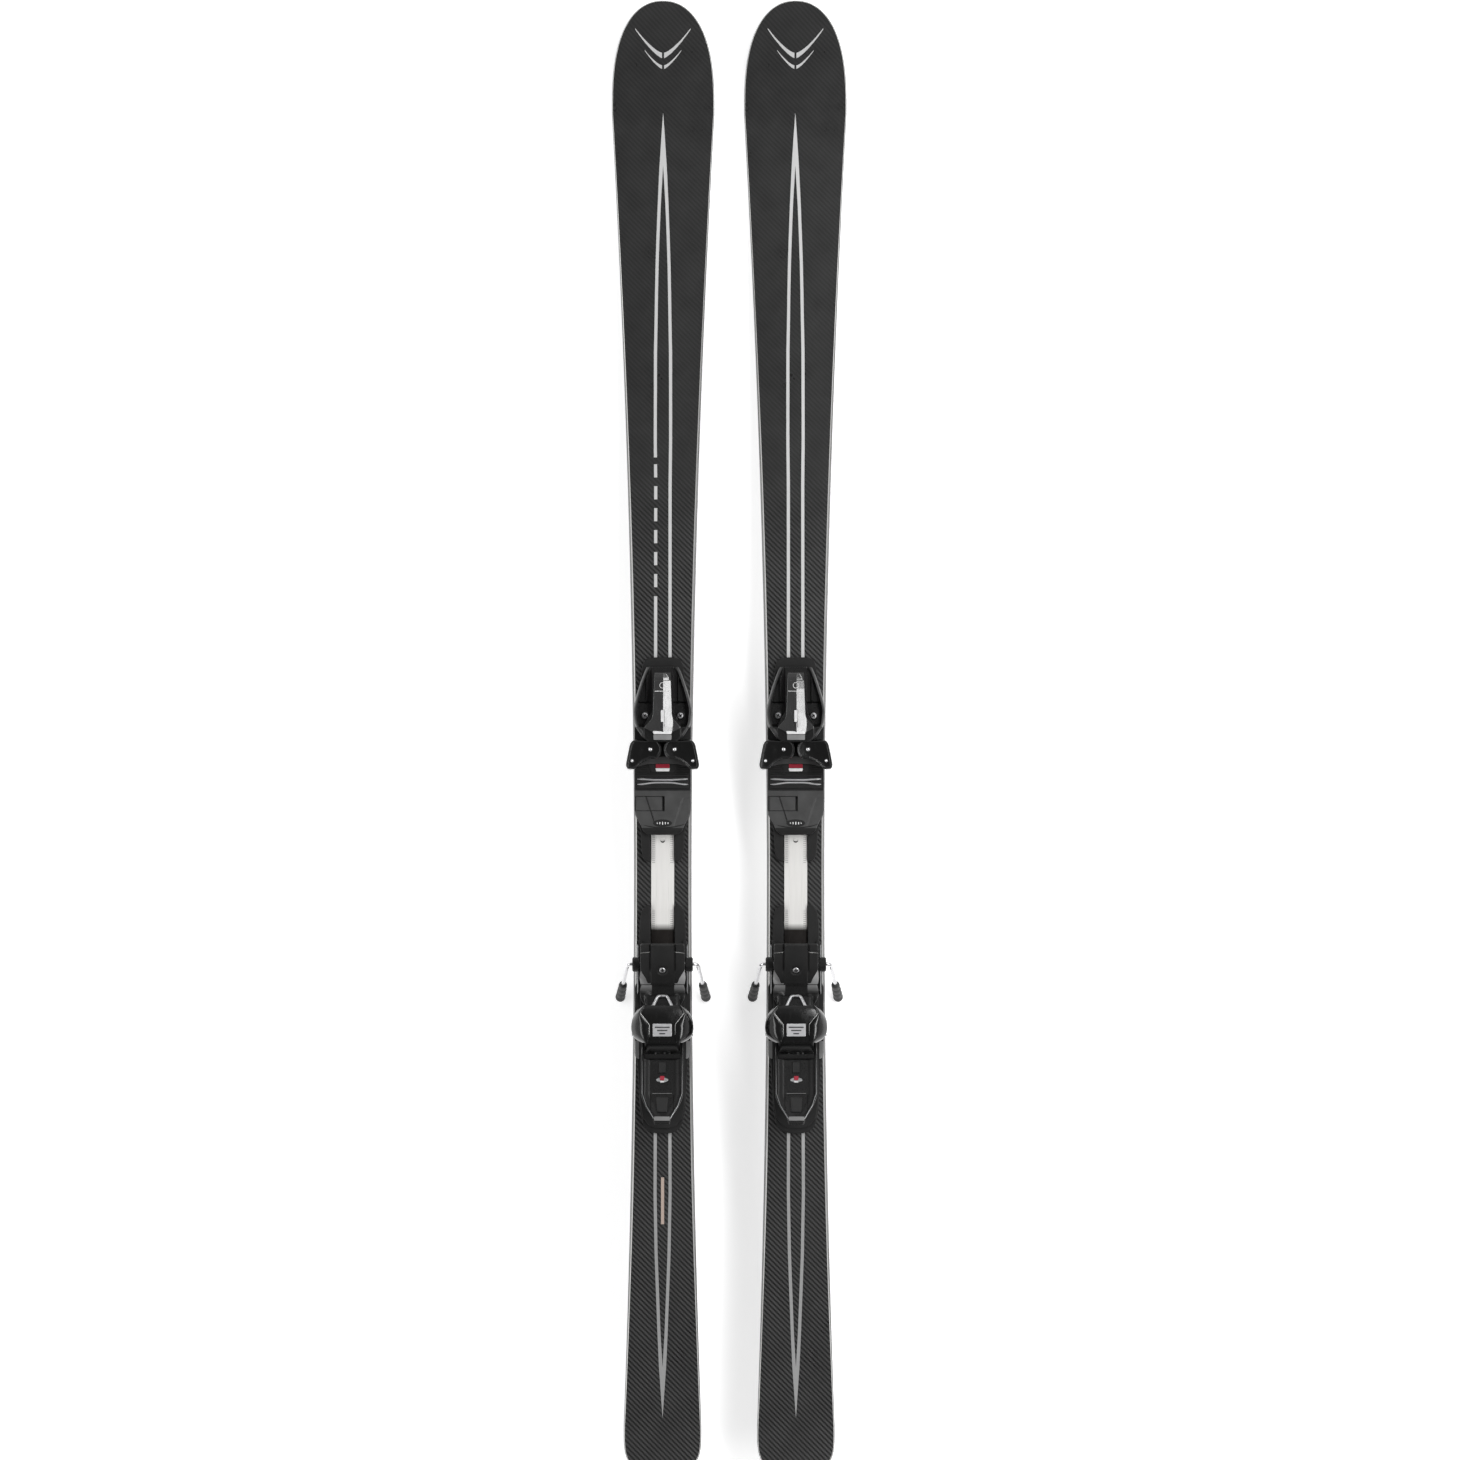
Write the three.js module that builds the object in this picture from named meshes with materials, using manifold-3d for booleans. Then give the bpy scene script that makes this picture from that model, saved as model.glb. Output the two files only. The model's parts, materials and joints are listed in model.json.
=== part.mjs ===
// A pair of carving skis with rail bindings, in millimetres, +Z up, tips towards +Y.
//
// Each ski is modelled in its own frame: X across, Y along with the tip at +Y, Z up from the plane that the
// running base touches. With no boot in the bindings the brakes are open, so on a floor each ski stands on its
// two brake tips and its shovel, nose down. STANCE sets both skis that way, and the part's origin is the
// bottom centre of the pair's box.
import * as THREE from "three";
import { mergeVertices } from "three/addons/utils/BufferGeometryUtils.js";
import Module from "manifold-3d";

const wasm = await Module();
wasm.setup();

// ---- Driving dimensions ----------------------------------------------------------------------------------

const GAP = 0.3; // left between pieces that touch
const LENGTH = 1700;
const HALF = LENGTH / 2;
const SPACING = 154; // between the two skis' centre lines
const STANCE = { tilt: 3.28, forward: -2.16, up: 38.35 }; // degrees nose down, then the shift to the part's origin

// Half widths of the plan outline, and where along the ski they are.
const SHOVEL = { y: 725, half: 59.8 };
const WAIST = { y: -165, half: 33.4 };
const TAIL = { y: -800, half: 44.9 };

const FLAT = { front: 100, rear: -475, height: 4, thickness: 16 }; // the level stretch that carries the binding
const DECK = FLAT.height + FLAT.thickness;
const CONTACT = { front: 670, rear: -790 }; // where the base leaves the snow
const TIP = { rise: 55, thickness: 5 };
const TAIL_END = { rise: 8, thickness: 6 };
const SHOVEL_THICKNESS = 7.5;
const TAIL_THICKNESS = 8;

const EDGE = { width: 2, height: 2.2 };
const BASE_THICKNESS = 1.4;
const SIDEWALL = { lean: 2.5, width: 5.5 };
const TOPSHEET = { thickness: 0.9, inset: 3.1 };

const RAIL_TOP = DECK + GAP + 7.2;
const BAND = { half: 13.3, front: -100.5, rear: -262, thickness: 1.6 };

const TOE_PLATE = { bottom: RAIL_TOP + GAP, top: RAIL_TOP + GAP + 3.4 };
const SOLE = TOE_PLATE.top + GAP + 2; // the level that the boot's toe stands on
const TOE_AXIS = { z: 41, bore: 8, front: 80, rear: 8 }; // the release spring's bore
const PIN = { x: 14, y: -19.7, radius: 2.2, top: 58.6 };
const WING = { bottom: 34, lip: 52.6, top: 58, travel: 30 };

const HEEL_PLATE = { bottom: RAIL_TOP + GAP, top: RAIL_TOP + GAP + 3.4 };
const AXLE = { y: -348, z: 44, radius: 3, half: 36.6 };
const TUNNEL = { z: 41.3, outer: 9.5, bore: 7.3, rear: -441 };
const LEVER = { slope: 35 / 85, start: [-24, 27], floor: 5, underside: 8 }; // the rim's line, from the axle

const BRAKE = { y: -267, z: 33, wire: 2.3, crank: 20.5, open: 62, elbow: 40.5, end: [49.7, -302.5, -48] };
const PEDAL = { y: -288, z: 34.5, length: 52.5, tilt: 33, thickness: 4 };

// ---- Materials --------------------------------------------------------------------------------------------

const finish = (color, roughness, metalness) => new THREE.MeshStandardMaterial({ color, roughness, metalness });
const MATERIALS = {
  carbon: finish(0x26272a, 0.35, 0),
  base: finish(0x121214, 0.45, 0),
  steel: finish(0xb9bbbd, 0.3, 1),
  sidewall: finish(0x8d8f92, 0.4, 0.3),
  wood: finish(0xb98d5a, 0.7, 0),
  matte: finish(0x2b2c2d, 0.6, 0),
  gloss: finish(0x0c0d0e, 0.12, 0),
  band: finish(0xe9e6e0, 0.35, 0.6),
};

// ---- Small tools ------------------------------------------------------------------------------------------

const lerp = THREE.MathUtils.lerp;
const rad = THREE.MathUtils.degToRad;

// A value at y, straight between the [y, value] stations of a list that runs from the tip to the tail.
function along(stations, y) {
  const next = stations.findIndex(([at]) => at <= y);
  if (next === 0) return stations[0][1];
  if (next < 0) return stations.at(-1)[1];
  const [y0, v0] = stations[next - 1];
  const [y1, v1] = stations[next];
  return lerp(v0, v1, (y - y0) / (y1 - y0));
}

// A closed body through rings of points, capped at its two ends unless the rings themselves close in a loop.
function loft(rings, looped = false) {
  const count = rings[0].length;
  const positions = rings.flat(2);
  const index = [];
  const spans = looped ? rings.length : rings.length - 1;
  for (let i = 0; i < spans; i++) {
    const here = i * count;
    const there = ((i + 1) % rings.length) * count;
    for (let j = 0; j < count; j++) {
      const k = (j + 1) % count;
      index.push(here + j, here + k, there + k, here + j, there + k, there + j);
    }
  }
  if (!looped) {
    for (const [start, turned] of [[0, true], [(rings.length - 1) * count, false]]) {
      const flat = capPoints(rings[start / count]);
      for (const [a, b, c] of THREE.ShapeUtils.triangulateShape(flat, [])) {
        index.push(start + a, start + (turned ? c : b), start + (turned ? b : c));
      }
    }
  }
  const geometry = new THREE.BufferGeometry();
  geometry.setAttribute("position", new THREE.Float32BufferAttribute(positions, 3));
  geometry.setIndex(facesOut(positions, index));
  return geometry;
}

// An end ring seen along the ski, as flat points that run anticlockwise.
const capPoints = (ring) => ring.map(([x, , z]) => new THREE.Vector2(x, z));

// The triangles turned round if they enclose a negative volume.
function facesOut(positions, index) {
  const at = (i) => new THREE.Vector3(...positions.slice(3 * i, 3 * i + 3));
  let volume = 0;
  for (let i = 0; i < index.length; i += 3) {
    volume += at(index[i]).dot(at(index[i + 1]).cross(at(index[i + 2])));
  }
  if (volume > 0) return index;
  return index.map((_, i) => index[i - (i % 3) + [0, 2, 1][i % 3]]);
}

// A right-hand outline from front to rear, with its mirror image, as one closed shape.
const mirrored = (points) => [...points, ...points.map(([x, y]) => [-x, y]).reverse()];
const shapeOf = (points) => new THREE.Shape(points.map(([x, y]) => new THREE.Vector2(x, y)));

// A plan outline made solid between two heights.
function prism(points, bottom, top) {
  const options = { depth: top - bottom, bevelEnabled: false };
  return new THREE.ExtrudeGeometry(shapeOf(points), options).translate(0, 0, bottom);
}

// A side profile of [y, z] points made solid between two places across the ski.
function profile(points, left, right) {
  const across = new THREE.Matrix4().makeBasis(
    new THREE.Vector3(0, 1, 0),
    new THREE.Vector3(0, 0, 1),
    new THREE.Vector3(1, 0, 0),
  );
  const options = { depth: right - left, bevelEnabled: false };
  return new THREE.ExtrudeGeometry(shapeOf(points), options).applyMatrix4(across).translate(left, 0, 0);
}

function box([x0, x1], [y0, y1], [z0, z1]) {
  return new THREE.BoxGeometry(x1 - x0, y1 - y0, z1 - z0).translate((x0 + x1) / 2, (y0 + y1) / 2, (z0 + z1) / 2);
}

// A cylinder along "x", "y" or "z" between two places on that axis.
function rod(axis, radius, [from, to], [a, b], sides = 20) {
  const geometry = new THREE.CylinderGeometry(radius, radius, to - from, sides);
  const middle = (from + to) / 2;
  if (axis === "x") return geometry.rotateZ(Math.PI / 2).translate(middle, a, b);
  if (axis === "y") return geometry.translate(a, middle, b);
  return geometry.rotateX(Math.PI / 2).translate(a, b, middle);
}

// Points on a circle between two angles, in degrees.
function arc([x, y], radius, from, to, steps) {
  return Array.from({ length: steps + 1 }, (_, i) => {
    const angle = rad(lerp(from, to, i / steps));
    return [x + radius * Math.cos(angle), y + radius * Math.sin(angle)];
  });
}

function manifold(shape) {
  if (shape instanceof wasm.Manifold) return shape;
  const bare = shape.clone();
  bare.deleteAttribute("normal");
  bare.deleteAttribute("uv");
  const merged = mergeVertices(bare, 1e-4);
  const { array } = merged.attributes.position;
  return new wasm.Manifold(
    new wasm.Mesh({ numProp: 3, vertProperties: array, triVerts: new Uint32Array(merged.index.array) }),
  );
}

const join = (first, ...rest) => rest.reduce((made, next) => made.add(manifold(next)), manifold(first));
const cut = (first, ...rest) => rest.reduce((made, next) => made.subtract(manifold(next)), manifold(first));
const common = (first, ...rest) => rest.reduce((made, next) => made.intersect(manifold(next)), manifold(first));

function geometryOf(shape) {
  if (!(shape instanceof wasm.Manifold)) return shape;
  const { vertProperties, triVerts } = shape.getMesh();
  const geometry = new THREE.BufferGeometry();
  geometry.setAttribute("position", new THREE.BufferAttribute(new Float32Array(vertProperties), 3));
  geometry.setIndex(new THREE.BufferAttribute(new Uint32Array(triVerts), 1));
  const faceted = geometry.toNonIndexed();
  faceted.computeVertexNormals();
  return faceted;
}

// A round section swept along a curve.
function tube(curve, radius, steps, sides) {
  const section = shapeOf(arc([0, 0], radius, 0, 360 - 360 / sides, sides - 1));
  return new THREE.ExtrudeGeometry(section, { steps, extrudePath: curve, bevelEnabled: false });
}

// A polyline whose corners are rounded off.
function roundedPath(points, radius) {
  const path = new THREE.CurvePath();
  const corners = points.map((p) => new THREE.Vector3(...p));
  let from = corners[0];
  for (let i = 1; i < corners.length - 1; i++) {
    const toward = (other) => corners[i].clone().add(other.clone().sub(corners[i]).setLength(radius));
    const enter = toward(corners[i - 1]);
    const leave = toward(corners[i + 1]);
    path.add(new THREE.LineCurve3(from, enter));
    path.add(new THREE.QuadraticBezierCurve3(enter, corners[i], leave));
    from = leave;
  }
  path.add(new THREE.LineCurve3(from, corners.at(-1)));
  return path;
}

// The centre line of a coil spring that lies along Y.
class Coil extends THREE.Curve {
  constructor(radius, [from, to], z, turns) {
    super();
    Object.assign(this, { radius, from, to, z, turns });
  }

  getPoint(t, target = new THREE.Vector3()) {
    const angle = 2 * Math.PI * this.turns * t;
    const y = lerp(this.from, this.to, t);
    return target.set(this.radius * Math.cos(angle), y, this.z + this.radius * Math.sin(angle));
  }
}

// ---- The ski: plan, side view and layers --------------------------------------------------------------------

// Half the ski's width at a place along it: a blunt nose, a parabolic sidecut and a squared-off tail.
function halfWidth(y) {
  const rounded = (share, power, root) => (1 - (1 - share) ** power) ** (1 / root);
  if (y >= SHOVEL.y) return SHOVEL.half * rounded((HALF - y) / (HALF - SHOVEL.y), 2.8, 2.2);
  if (y <= TAIL.y) return TAIL.half * rounded((HALF + y) / (HALF + TAIL.y), 4, 4);
  const end = y > WAIST.y ? SHOVEL : TAIL;
  const power = y > WAIST.y ? 1.85 : 2;
  return WAIST.half + (end.half - WAIST.half) * Math.abs((y - WAIST.y) / (end.y - WAIST.y)) ** power;
}

// Places along the ski where its layers have a section: close together round the tip and the tail.
const STATIONS = [
  ...[0.07, 0.15, 0.25, 0.37, 0.5, 0.64, 0.78, 0.9].map((s) => HALF - (HALF - SHOVEL.y) * s * s),
  SHOVEL.y,
  ...[670, 620, 560, 490, 410, 320, 210],
  FLAT.front,
  ...[0, -165, -330],
  FLAT.rear,
  ...[-540, -610, -680, -740],
  TAIL.y,
  ...[0.8, 0.6, 0.42, 0.27, 0.15, 0.07, 0.025].map((s) => -HALF + (HALF + TAIL.y) * s),
];

// How far the base stands above the plane it touches: camber in the middle, turned up at both ends.
function baseHeight(y) {
  const eased = (share) => THREE.MathUtils.smoothstep(share, 0, 1);
  if (y >= CONTACT.front) return TIP.rise * ((y - CONTACT.front) / (HALF - CONTACT.front)) ** 2.2;
  if (y <= CONTACT.rear) return TAIL_END.rise * ((y - CONTACT.rear) / (-HALF - CONTACT.rear)) ** 2;
  if (y > FLAT.front) return FLAT.height * eased((CONTACT.front - y) / (CONTACT.front - FLAT.front));
  if (y < FLAT.rear) return FLAT.height * eased((y - CONTACT.rear) / (FLAT.rear - CONTACT.rear));
  return FLAT.height;
}

const thickness = (y) =>
  along(
    [
      [HALF, TIP.thickness],
      [CONTACT.front, SHOVEL_THICKNESS],
      [FLAT.front, FLAT.thickness],
      [FLAT.rear, FLAT.thickness],
      [CONTACT.rear, TAIL_THICKNESS],
      [-HALF, TAIL_END.thickness],
    ],
    y,
  );

// The right-hand side line moved inwards from the outline, as [half width, y] at every station.
function sideLine(inset) {
  return STATIONS.map((y) => {
    const step = 0.02;
    const slope = (halfWidth(y - step) - halfWidth(y + step)) / (2 * step);
    const scale = inset / Math.hypot(1, slope);
    return [halfWidth(y) - scale, y - slope * scale];
  });
}

// A layer of the lay-up: its half width, and its bottom and top above the base, from the station's thickness.
function layer(inset, bottom, top) {
  return loft(
    sideLine(inset).map(([x, y]) => {
      const low = baseHeight(y) + bottom;
      const high = baseHeight(y) + top(thickness(y));
      return [[-x, y, low], [x, y, low], [x, y, high], [-x, y, high]];
    }),
  );
}

// A strip that runs all the way round the ski. Its section is [inset, height] corners.
function rim(section) {
  const lines = section(TIP.thickness).map(([inset]) => inset);
  const sides = lines.map(sideLine);
  const ring = (i, sign) =>
    section(thickness(STATIONS[i])).map(([, height], corner) => {
      const [x, y] = sides[corner][i];
      return [sign * x, y, baseHeight(y) + height];
    });
  const order = STATIONS.map((_, i) => i);
  return loft([...order.map((i) => ring(i, 1)), ...order.reverse().map((i) => ring(i, -1))], true);
}

const skiPieces = {
  running_base: [layer(EDGE.width + GAP, 0, () => BASE_THICKNESS), "base"],
  steel_edge: [
    rim(() => [[0, 0], [EDGE.width, 0], [EDGE.width, EDGE.height], [0, EDGE.height]]),
    "steel",
  ],
  sidewall: [
    rim((thick) => {
      const bottom = EDGE.height + GAP;
      const top = thick - TOPSHEET.thickness - GAP;
      const inner = GAP + SIDEWALL.width;
      return [[GAP, bottom], [inner, bottom], [inner, top], [GAP + SIDEWALL.lean, top]];
    }),
    "sidewall",
  ],
  wood_core: [
    layer(2 * GAP + SIDEWALL.width, BASE_THICKNESS + GAP, (thick) => thick - TOPSHEET.thickness - GAP),
    "wood",
  ],
  topsheet: [
    loft(
      sideLine(TOPSHEET.inset).map(([x, y]) => {
        const high = baseHeight(y) + thickness(y);
        const low = high - TOPSHEET.thickness;
        return [[-x, y, low], [x, y, low], [x - 0.6, y, high], [0.6 - x, y, high]];
      }),
    ),
    "carbon",
  ],
};

// ---- The rail and the band that keeps toe and heel at their distance ------------------------------------------

function frontRail() {
  const side = [[20, 88], [24, 84], [27, 60], [32, 30], [32.5, -91], [25.5, -112], [24.5, -134], [20, -144], [14.2, -148]];
  const slot = box([-14, 14], [-160, BAND.front + GAP], [DECK, RAIL_TOP + 1]);
  return cut(prism(mirrored(side), DECK + GAP, RAIL_TOP), slot);
}

function rearRail() {
  const side = [[14.2, -198], [20, -199.5], [24.5, -206], [26.5, -220], [27, -250], [28, -285], [32, -292], [32, -372]];
  const end = [[29, -380], [28, -400], [26, -436], [22, -452], [17, -459.5], [7.5, -462.5]];
  const slot = box([-14, 14], [BAND.rear - GAP, -190], [DECK, RAIL_TOP + 1]);
  return cut(prism(mirrored([...side, ...end]), DECK + GAP, RAIL_TOP), slot);
}

function lengthBand() {
  const { half, front, rear, thickness: thick } = BAND;
  const bottom = DECK + 2 * GAP;
  const plate = box([-half, half], [rear, front], [bottom, bottom + thick]);
  return cut(plate, rod("z", 2.6, [DECK, DECK + 5], [0, -123]));
}

// ---- The toe ------------------------------------------------------------------------------------------------

const LOCK_POCKET = { x: [-33, 2], y: [-90, -73] };

function toeCarriage() {
  const { bottom, top } = TOE_PLATE;
  const plate = prism(mirrored([[22, 62], [31, 30], [32.5, 10], [32.5, -91], [25, -112], [20, -119]]), bottom, top);
  const block = prism(mirrored([[31, -66], [31.5, -90], [24, -111], [19, -117]]), top - 1, top + 4);
  const pocket = box(LOCK_POCKET.x, LOCK_POCKET.y, [top, top + 6]);
  return cut(join(plate, block), pocket);
}

function lockButton() {
  const { x, y } = LOCK_POCKET;
  return box([x[0] + 2.5, x[1] - 2.8], [y[0] + GAP, y[1] - GAP], [TOE_PLATE.top + 1.7, TOE_PLATE.top + 4.6]);
}

// The housing's section stations: place, half width, top, and how deep the channels beside its ridge are.
const TOE_SECTIONS = [
  [76, 16.5, 50, 0.5],
  [68, 18.5, 53.5, 2],
  [50, 24.5, 57, 5],
  [33, 30, 59.5, 7],
  [22, 33.8, 61, 8],
  [6, 33, 62.5, 8],
];

function toeHousing() {
  const floor = TOE_PLATE.top + GAP;
  const rings = TOE_SECTIONS.map(([y, half, top, depth]) => {
    const ridge = Math.min(12, half - 7.5);
    const shoulder = top - 3.5;
    const right = [
      [half, floor],
      [half, lerp(floor, top, 0.45)],
      [half - 2, shoulder + 0.5],
      [half - 5, shoulder],
      [half - 6.2, shoulder - depth],
      [ridge + 0.8, shoulder - depth],
      [ridge, top],
    ];
    return mirrored(right).map(([x, z]) => [x, y, z]);
  });
  const canopy = prism(mirrored([[31, 6.5], [27, -2], [22, -8], [9, -12]]), WING.top + 1.2, TOE_SECTIONS.at(-1)[2]);
  const bore = rod("y", TOE_AXIS.bore, [TOE_AXIS.rear, TOE_AXIS.front], [0, TOE_AXIS.z]);
  return cut(join(loft(rings), canopy), bore);
}

// The window cover follows the housing's ridge and flares at its rear.
function toeCover() {
  const halves = [[69, 9.5], [50, 10.2], [33, 10.6], [22, 11], [6, 11.4]];
  const rings = halves.map(([y, half]) => {
    const low = along(TOE_SECTIONS.map(([at, , top]) => [at, top]), y) + GAP;
    const high = low + 2.4;
    return [[-half, y, low], [half, y, low], [half - 0.8, y, high], [0.8 - half, y, high]];
  });
  const top = TOE_SECTIONS.at(-1)[2] + GAP;
  const flare = prism(mirrored([[11.4, 6.5], [20, 0], [11.4, -7]]), top, top + 2.4);
  return join(loft(rings), flare);
}

// One jaw that grips a side of the boot's toe. It turns about its own pin, and its lip reaches over the sole.
function wing(sign) {
  const hub = arc([PIN.x, PIN.y], 13.2, 235, 125, 6);
  const outer = [[20, -8.8], [28, -8.5], [33, -9], [37.2, -13], [40, -25.5], [42.3, -38], [41, -41.4], [34, -42.5]];
  const mouth = [[29.8, -41.4], [21.7, -33.7], [14.3, -30.6]];
  const wall = [[30.5, -34], [20, -26.5], [13, -25.8]];
  const lip = prism([...hub, ...outer, ...mouth], WING.lip, WING.top);
  const block = prism([...hub.slice(1), ...outer, ...wall], WING.bottom, WING.lip + 1);
  const hole = rod("z", PIN.radius + GAP, [WING.bottom - 2, WING.top + 2], [PIN.x, PIN.y]);
  const right = cut(join(lip, block), hole);
  return sign > 0 ? right : right.mirror([1, 0, 0]);
}

const wingPin = (sign) => rod("z", PIN.radius, [TOE_PLATE.top + GAP, PIN.top], [sign * PIN.x, PIN.y]);

// The plate under the boot's toe, which slides sideways as the boot twists out. Its front lip is raised.
function frictionPlate() {
  const bottom = TOE_PLATE.top + GAP;
  const plate = box([-30, 30], [-64, -46], [bottom, SOLE]);
  return join(plate, profile([[-62, SOLE - 1], [-58, SOLE - 1], [-58.5, SOLE + 0.8], [-61.5, SOLE + 0.8]], -29.5, 29.5));
}

const toeSpring = () => tube(new Coil(6.2, [TOE_AXIS.rear + 2.5, 58], TOE_AXIS.z, 6), 1.2, 48, 5);

function toeScrew() {
  const head = rod("y", 7.6, [61, 73], [0, TOE_AXIS.z], 24);
  return cut(head, box([-1, 1], [70, 75], [TOE_AXIS.z - 6, TOE_AXIS.z + 6]));
}

// ---- The heel -------------------------------------------------------------------------------------------------

const fromAxle = (points) => points.map(([y, z]) => [AXLE.y + y, AXLE.z + z]);
const axleHole = () => rod("x", AXLE.radius + GAP, [-50, 50], [AXLE.y, AXLE.z]);

function heelCarriage() {
  const { bottom, top } = HEEL_PLATE;
  const side = [[27.5, -240], [27.5, -278], [26, -282], [26, -425], [23, -444], [15, -454], [6, -456.5]];
  const plate = prism(mirrored(side), bottom, top);
  const ears = [-1, 1].map((sign) => {
    const across = sign > 0 ? [26, 35] : [-35, -26];
    return box(across, [-276, -258.5], [bottom, BRAKE.z + 5.5]);
  });
  const pocket = box([-23.5, 23.5], [-272.5, -230], [bottom - 1, top + 1]);
  const bearing = rod("x", BRAKE.wire + GAP, [-50, 50], [BRAKE.y, BRAKE.z]);
  return cut(join(plate, ...ears), pocket, bearing);
}

function heelHousing() {
  const floor = HEEL_PLATE.top + GAP;
  const shoe = prism(mirrored([[20, -291], [25, -293], [27, -304], [27, -318], [24.5, -330]]), floor, floor + 4.2);
  const dome = arc([0, 0], 22.5, 27, 168, 9);
  const block = profile(fromAxle([[20, floor - AXLE.z], ...dome, [-22, floor - AXLE.z]]), -20.3, 20.3);
  const barrel = rod("y", TUNNEL.outer, [TUNNEL.rear, AXLE.y - 6], [0, TUNNEL.z], 24);
  const foot = box([-7, 7], [-436, -360], [floor, TUNNEL.z - 5]);
  const bore = rod("y", TUNNEL.bore, [TUNNEL.rear - 5, AXLE.y - 7], [0, TUNNEL.z], 24);
  return cut(join(shoe, block, barrel, foot), bore, axleHole());
}

// The hood that holds the boot's heel down. It turns up about the axle to let the boot out.
function heelCup() {
  const shell = [[31, 25], [31, 28.5], [23, 32.5], [12, 34.5], [0, 34.8], [-8.9, 33.4], [-6.1, 22.8], [0, 23.6], [5, 25]];
  const cheek = [[-8.9, 33.4], [0, 34.8], [31, 28.5], [31, 25], [23, 4], [10, -8], [0, -10], [-9, -5], [-10, 12]];
  const plan = mirrored([[14, -315.5], [28, -318.5], [34.9, -327], [37, -337], [36.2, -347], [33.5, -355], [14, -358.5]]);
  const cheeks = [[-40, -33], [33, 40]].map(([left, right]) => profile(fromAxle(cheek), left, right));
  const hood = join(profile(fromAxle(shell), -34, 34), ...cheeks);
  return cut(common(hood, prism(plan, 20, 90)), axleHole());
}

// The opening lever: a tray with a raised rim, on two cheeks that turn about the same axle as the cup.
function heelLever() {
  const [y0, z0] = LEVER.start;
  const line = (y, drop) => [y, z0 + (y0 - y) * LEVER.slope - drop];
  const slab = (high, low) =>
    profile(fromAxle([line(y0, high), line(y0, low), line(-120, low), line(-120, high)]), -40, 40);
  const outline = (inset) =>
    mirrored([
      [24 - inset, -360],
      [24 - inset, -418],
      [19 - inset, -432],
      [9.5 - inset / 2, -447 + inset],
      [8.5 - inset / 2, -453 + 3 * inset],
    ]);
  const tray = common(slab(0, LEVER.underside), prism(outline(0), 40, 130));
  const recess = common(slab(-10, LEVER.floor), prism(outline(3), 40, 130));
  const arm = [[8, -5], [9, 2], [5, 9], [-3, 12], [-16, 14], line(y0, 0), line(-60, 0), line(-60, 12), [-26, 6], [-10, -7]];
  const cheeks = [[-24, -20.8], [20.8, 24]].map(([left, right]) => profile(fromAxle(arm), left, right));
  const window = box([-5.5, 5.5], [-409, -393], [40, 130]);
  return cut(join(cut(tray, recess, window), ...cheeks), axleHole());
}

const heelAxle = () => rod("x", AXLE.radius, [-AXLE.half, AXLE.half], [AXLE.y, AXLE.z]);
const heelSpring = () => tube(new Coil(5.4, [-421, AXLE.y - 9.5], TUNNEL.z, 7), 1.2, 56, 5);

function heelScrew() {
  const head = rod("y", 6.9, [-438, -424], [0, TUNNEL.z], 24);
  return cut(head, box([-1, 1], [-440, -435], [TUNNEL.z - 5.5, TUNNEL.z + 5.5]));
}

// ---- The brake --------------------------------------------------------------------------------------------------

// One bent wire: an arm, its pivot, the crank that lifts the pedal, and the same again mirrored.
function brakeWire() {
  const open = rad(BRAKE.open);
  const crank = [BRAKE.y + BRAKE.crank * Math.cos(open), BRAKE.z + BRAKE.crank * Math.sin(open)];
  const right = [[19, ...crank], [19, BRAKE.y, BRAKE.z], [BRAKE.elbow, BRAKE.y, BRAKE.z], BRAKE.end];
  const left = right.map(([x, y, z]) => [-x, y, z]).reverse();
  const path = roundedPath([...left, ...right], 5);
  return tube(path, BRAKE.wire, 44, 7);
}

// A moulded tip on each arm, which digs into the snow.
function brakeTip(sign) {
  const end = new THREE.Vector3(...BRAKE.end);
  const start = new THREE.Vector3(BRAKE.elbow, BRAKE.y, BRAKE.z);
  const way = end.clone().sub(start).normalize();
  const turn = new THREE.Quaternion().setFromUnitVectors(new THREE.Vector3(0, -1, 0), way);
  const length = 39;
  const place = (geometry, beyond) =>
    geometry.applyQuaternion(turn).translate(...end.clone().addScaledVector(way, beyond).toArray());
  const body = place(new THREE.CylinderGeometry(4.3, 5.6, length, 16), 4 - length / 2);
  const nose = place(new THREE.CylinderGeometry(5.6, 3.2, 3, 16), 5.5);
  const bore = place(new THREE.CylinderGeometry(2.75, 2.75, length, 12), 0.6 - length / 2);
  const right = cut(join(body, nose), bore);
  return sign > 0 ? right : right.mirror([1, 0, 0]);
}

// The plate that the boot's heel treads on, drawn flat and then raised about its rear hinge.
function brakePedal() {
  const { length, thickness: thick } = PEDAL;
  const plate = prism(mirrored([[25.8, length], [26, 17], [22, 13], [15, 2], [12, 0]]), 0, thick);
  const lip = box([-25, 25], [length - 4, length], [-2.2, 1]);
  return geometryOf(join(plate, lip)).rotateX(rad(PEDAL.tilt)).translate(0, PEDAL.y, PEDAL.z);
}

// ---- The assembly -------------------------------------------------------------------------------------------------

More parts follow.
